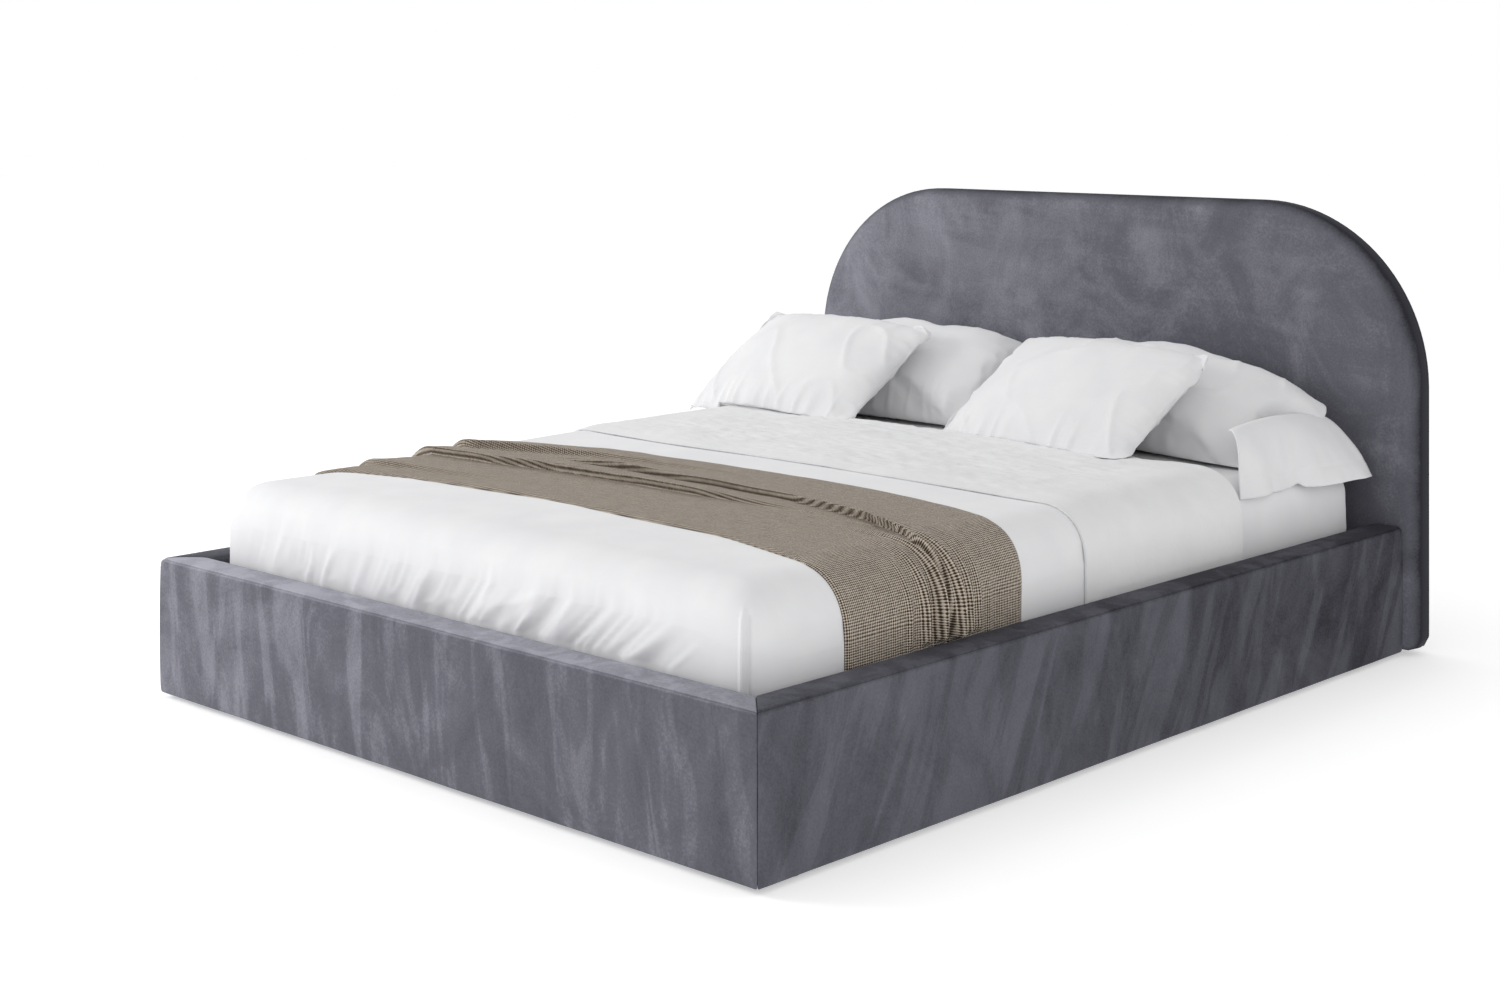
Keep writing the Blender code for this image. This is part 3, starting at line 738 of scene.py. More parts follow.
def make_headboard():
    """Rings from the middle of the front face outwards, round the padded edge and in again to the back
    cloth. Ring k is the outline moved in by an inset, at a depth; the front swells by a few
    millimetres and a shallow seam runs round the edge where the boxing joins."""
    front, back = HEAD_LOW.y, HEAD_HIGH.y
    radius, flat_inset = 0.032, 0.10
    base = head_loop(flat_inset)
    centre = np.array([0.0, 0.45])
    rings, depths = [], []
    for share in np.linspace(0.0, 1.0, 40)[:-1]:
        rings.append(centre + (base - centre) * share)
        depths.append(np.full(len(base), front))
    for inset in np.linspace(flat_inset, radius, 12)[:-1]:
        rings.append(head_loop(inset))
        depths.append(np.full(len(base), front))
    for angle in np.radians(np.linspace(0, 90, 12)):
        rings.append(head_loop(radius * (1 - math.sin(angle))))
        depths.append(np.full(len(base), front + radius * (1 - math.cos(angle))))
    for depth in np.linspace(front + radius, back - radius, 5)[1:]:
        seam = 0.0015 * math.exp(-(((depth - back + radius) / 0.004) ** 2))
        rings.append(head_loop(seam))
        depths.append(np.full(len(base), depth))
    for angle in np.radians(np.linspace(0, 90, 9))[1:]:
        rings.append(head_loop(radius * (1 - math.cos(angle))))
        depths.append(np.full(len(base), back - radius + radius * math.sin(angle)))
    cloth_inset, cloth_depth = 0.0545, 0.030
    for inset, sunk in ((0.045, 0.0), (0.052, 0.001), (0.054, 0.006), (cloth_inset, cloth_depth)):
        rings.append(head_loop(inset))
        depths.append(np.full(len(base), back - sunk))
    rings.append(np.broadcast_to(centre, base.shape))
    depths.append(np.full(len(base), back - cloth_depth))
    plan = np.stack(rings)
    depth = np.stack(depths)
    x, z = plan[..., 0], plan[..., 1]
    near_front = np.clip(1 - (depth - front) / 0.012, 0, 1)
    edge = np.clip((np.arange(len(rings)) / 50.0), 0, 1)[:, None]
    swell = 0.0035 * (1 - edge**4) + 0.0010 * layered_noise(x * 3.1, z * 3.1, 70, 3)
    depth = depth - swell * near_front
    points = np.stack([x, depth, z], axis=2)
    piece = grid_piece("padded_headboard", points, closed_columns=True, merge=True)
    piece.data.materials.append(VELVET_HEAD)
    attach(piece, BOX)
    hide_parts("headboard_upholstery")


# ---------------------------------------------------------------- the bedding's common shape
CORNER_POWER = 2.3  # of the superellipse that the bedding's edges follow
ARC_SHARE = 1.62  # length of such a quarter, over its radius
DUVET_CLOTH, FLAP_CLOTH, THROW_CLOTH, CASE_CLOTH = 0.004, 0.0045, 0.0035, 0.0025  # thicknesses


def bed_top(y):
    """Height of the duvet's top along the bed: a little lower at the foot, fullest where it is doubled."""
    distance = y - FOOT_Y
    return SHEET_TOP + 0.0135 + 0.010 * smoothstep((distance - 0.30) / 0.7)


def bed_round(y):
    """How far in from the side the duvet starts to round off."""
    return 0.128 - 0.020 * smoothstep((y - FOOT_Y - 0.3) / 0.8)


def over_bed(reach, y, lift=0.0):
    """A point on the bedding from its distance along the cloth from the middle line: flat and slightly
    crowned on top, then a superellipse quarter, then straight down. Lift moves it outwards."""
    sign = np.sign(reach)
    along = np.abs(reach)
    r = bed_round(y)
    top = bed_top(y)
    flat = BEDDING_HALF - r
    arc = ARC_SHARE * r
    turn = np.clip((along - flat) / arc, 0, 1) * (np.pi / 2)
    out_x = np.sin(turn) ** (2 / CORNER_POWER)
    out_z = np.cos(turn) ** (2 / CORNER_POWER)
    x = np.where(along < flat, along, flat + (r + lift) * out_x)
    crown = 0.006 * np.cos(np.clip(along / flat, 0, 1) * np.pi / 2)
    z = top + crown + lift - (r + lift) * (1 - out_z) * (along > flat)
    below = np.clip(along - flat - arc, 0, None)
    z = np.where(along > flat + arc, top + lift - (r + lift) - below, z)
    return np.stack([sign * x, y + 0 * x, z], axis=-1)


def cloth_reach(y_middle):
    """Distance along the cloth from the middle line to a hem at the bedding's lowest edge."""
    r, top = float(bed_round(np.array(y_middle))), float(bed_top(np.array(y_middle)))
    return (BEDDING_HALF - r) + ARC_SHARE * r + (top - r - HEM)


def across_samples(reach, flat_count, edge_count):
    """Distances from hem to hem, closer together over the rounded sides."""
    flat = BEDDING_HALF - 0.14
    side = np.linspace(flat, reach, edge_count)
    middle = np.linspace(-flat, flat, flat_count)
    return np.concatenate([-side[::-1], middle[1:-1], side])


def keep_inside_rails(points):
    """Pulls cloth below the rails' top edge in, so that it stays clear of the rails' inner faces."""
    ease, clearance = 0.012, 0.0022
    inside = smoothstep((RAIL_TOP + ease - points[..., 2]) / ease)
    limit = RAIL_INNER_X - clearance
    beyond = np.maximum(np.abs(points[..., 0]) - limit, 0)
    points[..., 0] -= np.sign(points[..., 0]) * beyond * inside
    foot_limit = RAIL_INNER_Y + clearance
    points[..., 1] += np.maximum(foot_limit - points[..., 1], 0) * inside
    return points


# ---------------------------------------------------------------- duvet
def make_duvet():
    """Rays run from a spine down the bed's middle to the duvet's outline and on down to the hem. The
    outline is straight sides, a superellipse corner and the foot. Along a ray the top is flat, then
    drops as a superellipse. The foot face carries fanned gathers: ridges of noise along the outline
    that grow downwards and lean with height. A narrow pleat, a groove beside a ridge, runs down the
    middle of the right foot corner."""
    spine_end = DUVET_FOOT + 0.62
    foot_r, corner_r, corner_power = 0.085, float(bed_round(DUVET_FOOT)), 3.2
    side_y = np.linspace(CREASE_Y - 0.012, DUVET_FOOT + foot_r, 110)[:-1]
    turn = np.linspace(0, np.pi / 2, 90)
    foot_x = np.linspace(BEDDING_HALF - corner_r, corner_r - BEDDING_HALF, 200)[1:-1]
    arc_x = BEDDING_HALF - corner_r + corner_r * np.cos(turn) ** (2 / corner_power)
    arc_y = DUVET_FOOT + foot_r - foot_r * np.sin(turn) ** (2 / corner_power)
    side_x = np.full_like(side_y, BEDDING_HALF)
    foot_y = np.full_like(foot_x, DUVET_FOOT)
    out_x = np.concatenate([side_x, arc_x, foot_x, -arc_x[::-1], -side_x])
    out_y = np.concatenate([side_y, arc_y, foot_y, arc_y[::-1], side_y[::-1]])
    walk = np.concatenate([[0], np.cumsum(np.hypot(np.diff(out_x), np.diff(out_y)))])
    fan = np.clip((spine_end - out_y) / (spine_end - DUVET_FOOT), 0, 1)
    spine_y = np.maximum(out_y, spine_end)
    spine_x = out_x * 0.35 * smoothstep(fan)
    to_x, to_y = out_x - spine_x, out_y - spine_y
    share = np.concatenate([np.linspace(0, 0.72, 26)[:-1], np.linspace(0.72, 1.0, 34)])
    x = spine_x[None] + to_x[None] * share[:, None]
    y = spine_y[None] + to_y[None] * share[:, None]
    r_side = bed_round(y)
    edge_x = np.clip(1 - (BEDDING_HALF - np.abs(x)) / r_side, 0, 1)
    edge_y = np.clip(1 - (y - DUVET_FOOT) / foot_r, 0, 1)
    edge = np.clip((edge_x**corner_power + edge_y**corner_power) ** (1 / corner_power), 0, 1)
    drop_height = r_side + (foot_r - r_side) * edge_y / np.maximum(edge_x + edge_y, 1e-6)
    fall = 1 - (1 - edge**CORNER_POWER) ** (1 / CORNER_POWER)
    top = bed_top(y) + 0.006 * np.cos(np.clip(np.abs(x) / 0.66, 0, 1) * np.pi / 2) * (1 - edge)
    z = top - drop_height * fall
    last = z[-1]
    skirt_rows = 29
    below = np.linspace(0, 1, skirt_rows + 1)[1:, None]
    skirt_z = last[None] + (HEM - last[None]) * below
    x = np.concatenate([x, np.repeat(x[-1:], skirt_rows, axis=0)])
    y = np.concatenate([y, np.repeat(y[-1:], skirt_rows, axis=0)])
    z = np.concatenate([z, skirt_z])
    points = np.stack([x, y, z], axis=2)
    normal = grid_normals(points)
    outward = np.sign((normal * (points - np.array([0, 0.0, 0.2]))).sum(2, keepdims=True))
    normal = normal * np.where(outward == 0, 1, outward)
    depth = np.clip((SHEET_TOP + 0.010 - z) / 0.16, 0, 1)
    lean = walk[None] - (0.05 + 0.13 * smoothstep((x + 0.7) / 1.3)) * depth**1.2
    gathers_a_metre, puckers_a_metre = 17, 38
    ridges = (1 - np.abs(noise(lean * gathers_a_metre, depth * 1.1, 5))) ** 2.0 - 0.50
    fine = (1 - np.abs(noise(lean * puckers_a_metre, depth * 1.6, 9))) ** 2.0 - 0.50
    patch = 0.75 + 0.35 * noise(walk[None] * 3.1, depth * 0.5, 12)
    grow = smoothstep((depth - 0.02) / 0.85)
    gather_height, pucker_height = 0.0148, 0.0050
    gathers = (gather_height * ridges + pucker_height * fine) * patch * grow
    gathers = gathers * smoothstep((0.74 - np.abs(x)) / 0.22) * smoothstep((DUVET_FOOT + 0.11 - y) / 0.09)
    open_top = 0.35 + 0.65 * smoothstep((y_of(0.34) - y) / 0.15)
    on_top = smoothstep((z - SHEET_TOP + 0.06) / 0.06)
    settle = 0.0022 * layered_noise(x * 4.2, y * 4.2, 21, 2) * open_top * on_top
    from_corner = walk[None] - walk[len(side_y) + len(turn) // 2]
    hanging = smoothstep((SHEET_TOP - 0.025 - z) / 0.03)
    pleat_width, ridge_height, groove_depth = 0.0045, 0.0085, 0.0065
    pleat = ridge_height * bump(from_corner, 0.012, pleat_width) * hanging
    pleat = pleat - groove_depth * bump(from_corner, 0.003, pleat_width) * hanging
    swell = 0.0016 * noise(walk[None] * 6, z * 9, 31) * smoothstep((np.abs(x) - 0.70) / 0.08)
    from_spine = np.concatenate([share, np.ones(skirt_rows)])[:, None]
    relief = (gathers + settle + swell + pleat) * smoothstep(from_spine / 0.12)
    points = points + normal * relief[..., None]
    points = keep_inside_rails(points)
    steps = np.linalg.norm(np.diff(points, axis=0), axis=2)
    along_ray = np.cumsum(np.concatenate([np.zeros((1, x.shape[1])), steps]), axis=0)
    uv = np.stack([np.broadcast_to(walk[None], x.shape), along_ray], axis=2)
    piece = grid_piece("duvet_cover", points, uv=uv, merge=True)
    face_up(piece)
    thicken(piece, DUVET_CLOTH)
    piece.data.materials.append(COTTON)
    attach(piece, PLATFORM)
    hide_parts("duvet")


# ---------------------------------------------------------------- turned-down part
def make_turndown():
    """A band of cloth over the duvet from its free edge to the crease, where it rolls under in a half
    circle. Its top is crinkled by ridged noise that fades down the sides and towards the free edge,
    which waves a little and leaves a thin shadow line."""
    reach = cloth_reach(y_of(1.3)) - 0.004
    across = across_samples(reach, 150, 60)
    lengthwise = np.linspace(0, 1, 100)
    roll = np.linspace(0, np.pi, 14)[1:]
    free = y_of(1.03) + 0.004 * noise(across * 3.0, 0.0, 51) + 0.055 * smoothstep((-across - 0.30) / 0.6)
    crease = CREASE_Y - 0.010 - 0.006 * noise(across * 2.0, 4.0, 52)
    crease = crease + 0.012 * smoothstep((np.abs(across) - 0.5) / 0.3)
    y_top = free[:, None] + (crease - free)[:, None] * lengthwise[None]
    radius = 0.0085
    y_roll = crease[:, None] + radius * np.sin(roll)[None]
    lift_top = 0.0054 + 0.0048 * smoothstep(lengthwise[None] / 0.12) + 0 * y_top
    lift_roll = 0.0105 - radius * (1 - np.cos(roll))[None] + 0 * y_roll
    y = np.concatenate([y_top, y_roll], axis=1)
    lift = np.concatenate([lift_top, lift_roll], axis=1)
    reach_grid = np.broadcast_to(across[:, None], y.shape)
    points = over_bed(reach_grid, y, lift)
    normal = outward_normals(points)
    on_top = smoothstep((0.74 - np.abs(reach_grid)) / 0.22)
    from_free = y - free[:, None]
    crinkle = (1 - np.abs(layered_noise(reach_grid * 13, from_free * 34, 60, 3))) ** 2
    crinkle = crinkle + 0.6 * (1 - np.abs(layered_noise(reach_grid * 30, from_free * 46, 66, 2))) ** 2
    wave = 0.0030 * layered_noise(reach_grid * 5, from_free * 9, 68, 2)
    crinkle_height, side_share = 0.0038, 0.12
    relief = (crinkle_height * (crinkle - 0.8) + wave) * (side_share + (1 - side_share) * on_top)
    relief = relief + 0.0012 * noise(reach_grid * 9, from_free * 6, 69)
    relief = relief * (0.15 + 0.85 * smoothstep(from_free / 0.07))
    points = points + normal * relief[..., None]
    points = keep_inside_rails(points)
    uv = np.stack([reach_grid, from_free], axis=2)
    piece = grid_piece("turned_down_duvet", points, uv=uv)
    face_up(piece)
    thicken(piece, FLAP_CLOTH)
    piece.data.materials.append(CRINKLED)
    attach(piece, PLATFORM)
    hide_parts("duvet_turndown")


# ---------------------------------------------------------------- throw
def fold_line(reach, stops):
    """Distance from the foot of an edge or a fold: straight between (place across, distance) stops,
    then smoothed by a moving average with a Hann window."""
    places, distances = zip(*stops)
    line = np.interp(reach, places, distances)
    kernel = np.hanning(15)
    padded = np.pad(line, 7, mode="edge")
    return np.convolve(padded, kernel / kernel.sum(), mode="valid")


# The throw's two long edges, as (place across along the cloth, distance from the foot).
THROW_FOOT_EDGE = (
    (-1.1, 0.37),
    (-0.85, 0.33),
    (-0.72, 0.285),
    (-0.66, 0.335),
    (-0.50, 0.366),
    (-0.1, 0.386),
    (0.2, 0.372),
    (0.45, 0.366),
    (0.60, 0.335),
    (0.70, 0.312),
    (1.1, 0.312),
)
THROW_HEAD_EDGE = (
    (-1.1, 0.75),
    (-0.78, 0.74),
    (-0.64, 0.81),
    (-0.40, 0.876),
    (-0.1, 0.892),
    (0.35, 0.896),
    (0.60, 0.868),
    (0.72, 0.826),
    (1.1, 0.818),
)
# Its folds: the fold's line like an edge's, its height, the widths of its steep front and of its slow
# fall, and its strength as (place across, share of the height).
THROW_FOLDS = (
    (
        (
            (-1.1, 0.58),
            (-0.73, 0.598),
            (-0.5, 0.597),
            (-0.3, 0.615),
            (0.15, 0.612),
            (0.34, 0.625),
            (1.1, 0.64),
        ),
        (0.0135, 0.006, 0.075),
        ((-1.1, 0.4), (-0.75, 0.9), (-0.3, 1.0), (0.15, 0.8), (0.40, 0.12), (0.55, 0.0), (1.1, 0.0)),
    ),
    (
        (
            (-0.40, 0.705),
            (-0.06, 0.692),
            (0.05, 0.688),
            (0.35, 0.688),
            (0.56, 0.655),
            (0.73, 0.585),
            (0.85, 0.590),
            (0.95, 0.600),
            (1.1, 0.610),
        ),
        (0.0150, 0.004, 0.046),
        ((-1.1, 0.0), (-0.40, 0.0), (-0.15, 0.7), (0.30, 0.55), (0.55, 0.9), (0.9, 0.9), (1.1, 0.9)),
    ),
    (
        ((-1.1, 0.70), (-0.7, 0.71), (-0.35, 0.80), (0.1, 0.81), (1.1, 0.80)),
        (0.011, 0.010, 0.060),
        ((-1.1, 0.9), (-0.6, 0.9), (-0.1, 0.35), (0.15, 0.0), (1.1, 0.0)),
    ),
    (
        ((-1.1, 0.42), (-0.62, 0.44), (-0.2, 0.47), (1.1, 0.48)),
        (0.007, 0.012, 0.050),
        ((-1.1, 0.9), (-0.70, 1.0), (-0.45, 0.6), (-0.1, 0.0), (1.1, 0.0)),
    ),
)


def throw_folds(across, distance):
    """Height of the folds: at each a groove, then a steep front towards the foot as a Gaussian, then a
    slow exponential fall towards the head."""
    relief = 0.0
    for stops, (height, steep, slow), strength in THROW_FOLDS:
        gap = distance - fold_line(across, stops)[:, None]
        rise = np.where(gap > 0, np.exp(-gap / slow), np.exp(-((gap / steep) ** 2)))
        rise = rise - 0.45 * bump(gap, -2.6 * steep, 1.5 * steep)
        relief = relief + height * rise * np.interp(across, *zip(*strength))[:, None]
    return relief


def make_throw():
    """A band over the duvet. Its two long edges are smooth lines that drift across the bed. The folds
    lean towards the foot, and below the bed's right edge they break up into upright pleats, which are
    a raised cosine under a Gaussian."""
    reach = cloth_reach(y_of(0.6)) - 0.008
    across = across_samples(reach, 190, 80)
    low, high = fold_line(across, THROW_FOOT_EDGE), fold_line(across, THROW_HEAD_EDGE)
    lengthwise = np.linspace(0, 1, 190)
    distance = low[:, None] + (high - low)[:, None] * lengthwise[None]
    y = FOOT_Y + distance
    reach_grid = np.broadcast_to(across[:, None], y.shape)
    points = over_bed(reach_grid, y, 0.006)
    normal = outward_normals(points)
    relief = throw_folds(across, distance)
    hang = smoothstep((across - 0.66) / 0.22)[:, None]
    bundle = bump(distance, 0.585, 0.085)
    pleat_apart, first_pleat = 0.0385, 0.562
    wander = 1.2 * noise(reach_grid * 4, distance * 3, 80)
    pleats = (0.5 + 0.5 * np.cos(2 * np.pi * (distance - first_pleat) / pleat_apart + wander)) ** 2.6
    relief = relief + 0.0165 * hang * bundle * pleats
    near_edge = smoothstep((across - 0.45) / 0.3)[:, None]
    relief = relief + 0.0030 * near_edge * bundle * np.cos(2 * np.pi * distance / 0.052)
    relief = relief + 0.0016 * layered_noise(reach_grid * 5, distance * 11, 84, 3)
    edge = np.minimum(distance - low[:, None], high[:, None] - distance)
    relief = relief * smoothstep(edge / 0.02 + 0.25)
    curl = -0.004 * np.exp(-((edge / 0.006) ** 2))
    deepest = -0.0018
    relief = np.maximum(relief * 1.5, deepest)
    points = points + normal * (relief + curl)[..., None]
    points[..., 1] -= np.maximum(relief, 0) * smoothstep((0.76 - np.abs(reach_grid)) / 0.1)
    points = keep_inside_rails(points)
    uv = np.stack([reach_grid, distance], axis=2)
    piece = grid_piece("woven_throw", points, uv=uv)
    face_up(piece)
    thicken(piece, THROW_CLOTH)
    piece.data.materials.append(TWILL)
    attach(piece, PLATFORM)
    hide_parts("throw")


# ---------------------------------------------------------------- mattress
def make_mattress():
    """A rounded box: sections across the bed are superellipse-cornered loops, drawn in towards both
    ends as a superellipse too. The fitted sheet puckers a little at the rear corners."""
    half = MATTRESS_HIGH.x
    low, top = MATTRESS_LOW.z, SHEET_TOP
    head, foot = MATTRESS_HIGH.y, MATTRESS_LOW.y + 0.004
    upper, lower = 0.088, 0.030
    angle = np.linspace(0, np.pi / 2, 16)
    power = 2 / CORNER_POWER

    def quarter(r):
        return r * np.sin(angle) ** power, r * np.cos(angle) ** power

    ux, uz = quarter(upper)
    lx, lz = quarter(lower)
    flat = np.linspace(0, half - upper, 24)[:-1]
    side = np.linspace(top - upper, low + lower, 12)[1:-1]
    under = np.linspace(half - lower, 0, 12)[1:]
    side_x, flat_z, under_z = np.full_like(side, half), np.full_like(flat, top), np.full_like(under, low)
    right_x = np.concatenate([flat, half - upper + ux, side_x, half - lower + lx[::-1], under])
    right_z = np.concatenate([flat_z, top - upper + uz, side, low + lower - lz[::-1], under_z])
    x = np.concatenate([right_x, -right_x[::-1][1:-1]])
    z = np.concatenate([right_z, right_z[::-1][1:-1]])
    foot_end, head_end = 0.080, 0.020
    near = 1 - np.cos(np.linspace(0, np.pi / 2, 10))
    stations = np.concatenate(
        [
            foot + foot_end * near[:-1],
            np.linspace(foot + foot_end, head - head_end, 90),
            (head - head_end * near[:-1])[::-1],
        ]
    )

    def drawn_in(gap, end):
        close = np.clip(1 - gap / end, 0, 1)
        return end * (1 - (1 - close**CORNER_POWER) ** (1 / CORNER_POWER))

    pull = drawn_in(stations - foot, foot_end) + drawn_in(head - stations, head_end)
    middle_z = 0.5 * (low + top)
    size = np.stack([(half - pull) / half, (top - middle_z - pull * 0.6) / (top - middle_z)], axis=1)
    rings = np.stack([x[None] * size[:, :1], middle_z + (z - middle_z)[None] * size[:, 1:]], axis=2)
    centre = np.array([0, middle_z])
    rings = np.concatenate(
        [centre + (rings[:1] - centre) * k for k in (0, 0.3, 0.6, 0.85)]
        + [rings]
        + [centre + (rings[-1:] - centre) * k for k in (0.85, 0.6, 0.3, 0)]
    )
    stations = np.concatenate([[foot] * 4, stations, [head] * 4])
    y = np.broadcast_to(stations[:, None], rings.shape[:2])
    points = np.stack([rings[..., 0], y, rings[..., 1]], axis=2)
    tail = smoothstep((y - (head - 0.30)) / 0.30)
    upright = np.clip((top - points[..., 2]) / 0.1, 0, 1)
    pucker = 0.0022 * noise(points[..., 2] * 26, y * 5, 90) + 0.0028 * noise(y * 11, points[..., 2] * 5, 91)
    points[..., 0] += np.sign(points[..., 0]) * pucker * upright * tail
    points[..., 1] += 0.004 * noise(points[..., 2] * 30, points[..., 0] * 2, 93) * tail * (y > head - 0.02)
    points[..., 2] += 0.0018 * layered_noise(points[..., 0] * 5, y * 5, 94, 2) * (points[..., 2] > top - 0.02)
    piece = grid_piece("fitted_mattress", points, closed_columns=True, merge=True)
    piece.data.materials.append(SHEET_COTTON)
    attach(piece, PLATFORM)
    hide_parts("mattress")


# ---------------------------------------------------------------- pillows
def pillow_points(width, height, thickness, seed, rows=74, columns=54):
    """Two faces of a pillow over a square of parameters. The outline's sides pull in between its
    corners, which are blunted by a high power, and each face rises as a root of the distance from the
    edges."""
    u = np.sin(np.linspace(-1, 1, rows) * np.pi / 2)[:, None]
    v = np.sin(np.linspace(-1, 1, columns) * np.pi / 2)[None]
    blunt = (u * v) ** 6
    x = 0.5 * width * u * (1 - 0.030 * (1 - v**2)) * (1 - 0.050 * blunt)
    y = 0.5 * height * v * (1 - 0.050 * (1 - u**2)) * (1 - 0.065 * blunt)
    rise = np.clip(1 - u**2, 0, 1) ** 0.44 * np.clip(1 - v**2, 0, 1) ** 0.46
    soft = 0.05 * layered_noise(x * 6, y * 6, seed + 7, 2)
    z = 0.5 * thickness * rise * (1 + soft)
    back = -0.5 * thickness * rise * (1 - soft)
    front = np.stack([x, y, z], axis=2)
    rear = np.stack([x, y, np.minimum(back, z)], axis=2)
    return front, rear


def seam_gathers(x, y, width, height, seed):
    """Height of the gathers at a place on a pillow's face: short ridges about 3 cm apart that run in
    from the seams and die out as a Gaussian, weaker at the upper seam, and a few long creases."""
    u, v = 2 * x / width, 2 * y / height
    edge, side = np.clip(1 - np.abs(v), 0, 1), np.clip(1 - np.abs(u), 0, 1)
    seam_a_metre, end_a_metre = 36, 30
    short = (1 - np.abs(noise(x * seam_a_metre, v * 1.3 + 5, seed))) ** 2 - 0.5
    short = short * np.exp(-((edge / 0.38) ** 2)) * smoothstep(edge / 0.07) * smoothstep(side / 0.2)
    short = short * (0.3 + 0.7 * smoothstep((0.3 - v) / 0.6))
    across = (1 - np.abs(noise(y * end_a_metre, u * 1.3 + 9, seed + 3))) ** 2 - 0.5
    across = across * np.exp(-((side / 0.20) ** 2)) * smoothstep(side / 0.05) * smoothstep(edge / 0.3)
    long = (1 - np.abs(noise((x + 0.5 * y) * 9, (y - 0.3 * x) * 5, seed + 5))) ** 7
    long = long * smoothstep(edge / 0.3) * smoothstep(side / 0.2)
    return 0.0120 * short + 0.0070 * across + 0.0055 * long


def turned(first, second, degrees):
    """Two coordinates turned in their own plane."""
    c, s = math.cos(math.radians(degrees)), math.sin(math.radians(degrees))
    return first * c - second * s, first * s + second * c


def pillow_piece(name, node, size, seed, centre, yaw, lean, sag, droop):
    """Both faces joined at the seam, blown up, and carried to their place: the ends sag as a parabola,
    the pillow leans back and turns, its right end droops as a parabola, and it is pressed flat by a
    soft maximum where it meets what it lies on."""
    front, rear = pillow_points(*size, seed)
    rows, columns = front.shape[:2]
    faces = grid_faces(rows, columns, False, False)
    points = np.concatenate([front.reshape(-1, 3), rear.reshape(-1, 3)])
    faces = np.concatenate([faces, faces[:, ::-1] + rows * columns])
    piece = new_piece(name, points, faces, points[:, :2], merge=True)
    inflate(piece)
    subdivide(piece)
    count = len(piece.data.vertices)
    local = np.empty(count * 3, np.float32)
    piece.data.vertices.foreach_get("co", local)
    local = local.reshape(-1, 3).astype(float)
    x, y, z = local.T
    z = z + np.sign(z) * seam_gathers(x, y, size[0], size[1], seed) * smoothstep(np.abs(z) / 0.012)
    z = z - sag * (x / (0.5 * size[0])) ** 2
    y, z = turned(y, z, lean)
    x, y = turned(x, y, yaw)
    x, y, z = x + centre[0], y + centre[1], z + centre[2]
    z = z - droop * np.clip((x - centre[0]) / (0.5 * size[0]), 0, 1) ** 2
    bed = SHEET_TOP + 0.006 + 0.028 * smoothstep((CREASE_Y + 0.01 - y) / 0.03)
    over = np.abs(x) < BEDDING_HALF - 0.05
    soft = 0.012
    lifted = bed + soft * np.logaddexp(0, (z - bed) / soft)
    z = np.where(over, lifted, z)
    y = np.minimum(y, HEAD_LOW.y - 0.012)
    piece.data.vertices.foreach_set("co", np.stack([x, y, z], axis=1).astype(np.float32).ravel())
    piece.data.update()
    piece.data.materials.append(PILLOW_COTTON)
    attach(piece, PLATFORM)
    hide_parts(node)


def subdivide(piece):
    """Splits each face into four and keeps the finer mesh, so that gathers have points to stand on."""
    finer = piece.modifiers.new("Subdivision", "SUBSURF")
    finer.levels = finer.render_levels = 1
    graph = bpy.context.evaluated_depsgraph_get()
    mesh = bpy.data.meshes.new_from_object(piece.evaluated_get(graph))
    piece.modifiers.remove(finer)
    piece.data = mesh


def inflate(piece):
    """Blows the pillow up with cloth simulation, so that seams pucker, and caps how far points move."""
    cap, frames = 0.024, 20
    scene = bpy.context.scene
    before = np.array([v.co[:] for v in piece.data.vertices])
    cloth = piece.modifiers.new("Inflate", "CLOTH")
    settings = cloth.settings
    settings.quality = 5
    settings.mass = 0.25
    settings.use_pressure = True
    settings.uniform_pressure_force = 4.0
    settings.tension_stiffness = settings.compression_stiffness = 18
    settings.shear_stiffness = 8
    settings.bending_stiffness = 0.4
    settings.effector_weights.gravity = 0
    cloth.point_cache.frame_start, cloth.point_cache.frame_end = 1, frames
    for step in range(1, frames + 1):
        scene.frame_set(step)
    graph = bpy.context.evaluated_depsgraph_get()
    moved = np.array([v.co[:] for v in piece.evaluated_get(graph).data.vertices])
    piece.modifiers.remove(cloth)
    scene.frame_set(1)
    way = moved - before
    length = np.linalg.norm(way, axis=1, keepdims=True)
    way = way * np.minimum(1, cap / np.maximum(length, 1e-9))
    piece.data.vertices.foreach_set("co", (before + way).astype(np.float32).ravel())
    piece.data.update()


def make_case_end():
    """The pillowcase's empty end beyond the stuffing: a sheet that starts inside the pillow's end, turns
    down over the mattress edge and flares to a wavy low edge with a small notch."""
    share = np.linspace(0, 1, 90)[:, None]
    down = np.linspace(0, 1, 44)[None]
    top_y, low_y = 1.700 + 0.380 * share, 1.632 + 0.500 * share
    y = y_of(top_y + (low_y - top_y) * down**0.8)
    out = 0.712 + 0.076 * down**0.6 + 0.034 * down * smoothstep((share - 0.42) / 0.2)
    fall = 0.585 - 0.004 * share - 0.137 * down**1.35 + 0.010 * bump(share, 0.46, 0.03) * down**3
    ripple = noise(share * 6.5, down * 1.2, 240) * 0.010 * down
    ripple = ripple + 0.004 * noise(share * 15, down * 3, 243) * down
    hem = -0.0012 * bump(down, 0.80, 0.012)
    crown = 0.014 * np.sin(np.pi * share) ** 0.7 * (1 - down) ** 1.5
    points = np.stack([out + ripple + hem, y + 0 * down, fall + crown - 0.030], axis=2)
    uv = np.stack([0.45 * share + 0 * down, 0.17 * down + 0 * share], axis=2)
    piece = grid_piece("pillowcase_end", points, uv=uv)
    thicken(piece, CASE_CLOTH, 0.0)
    piece.data.materials.append(COTTON)
    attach(piece, PLATFORM)


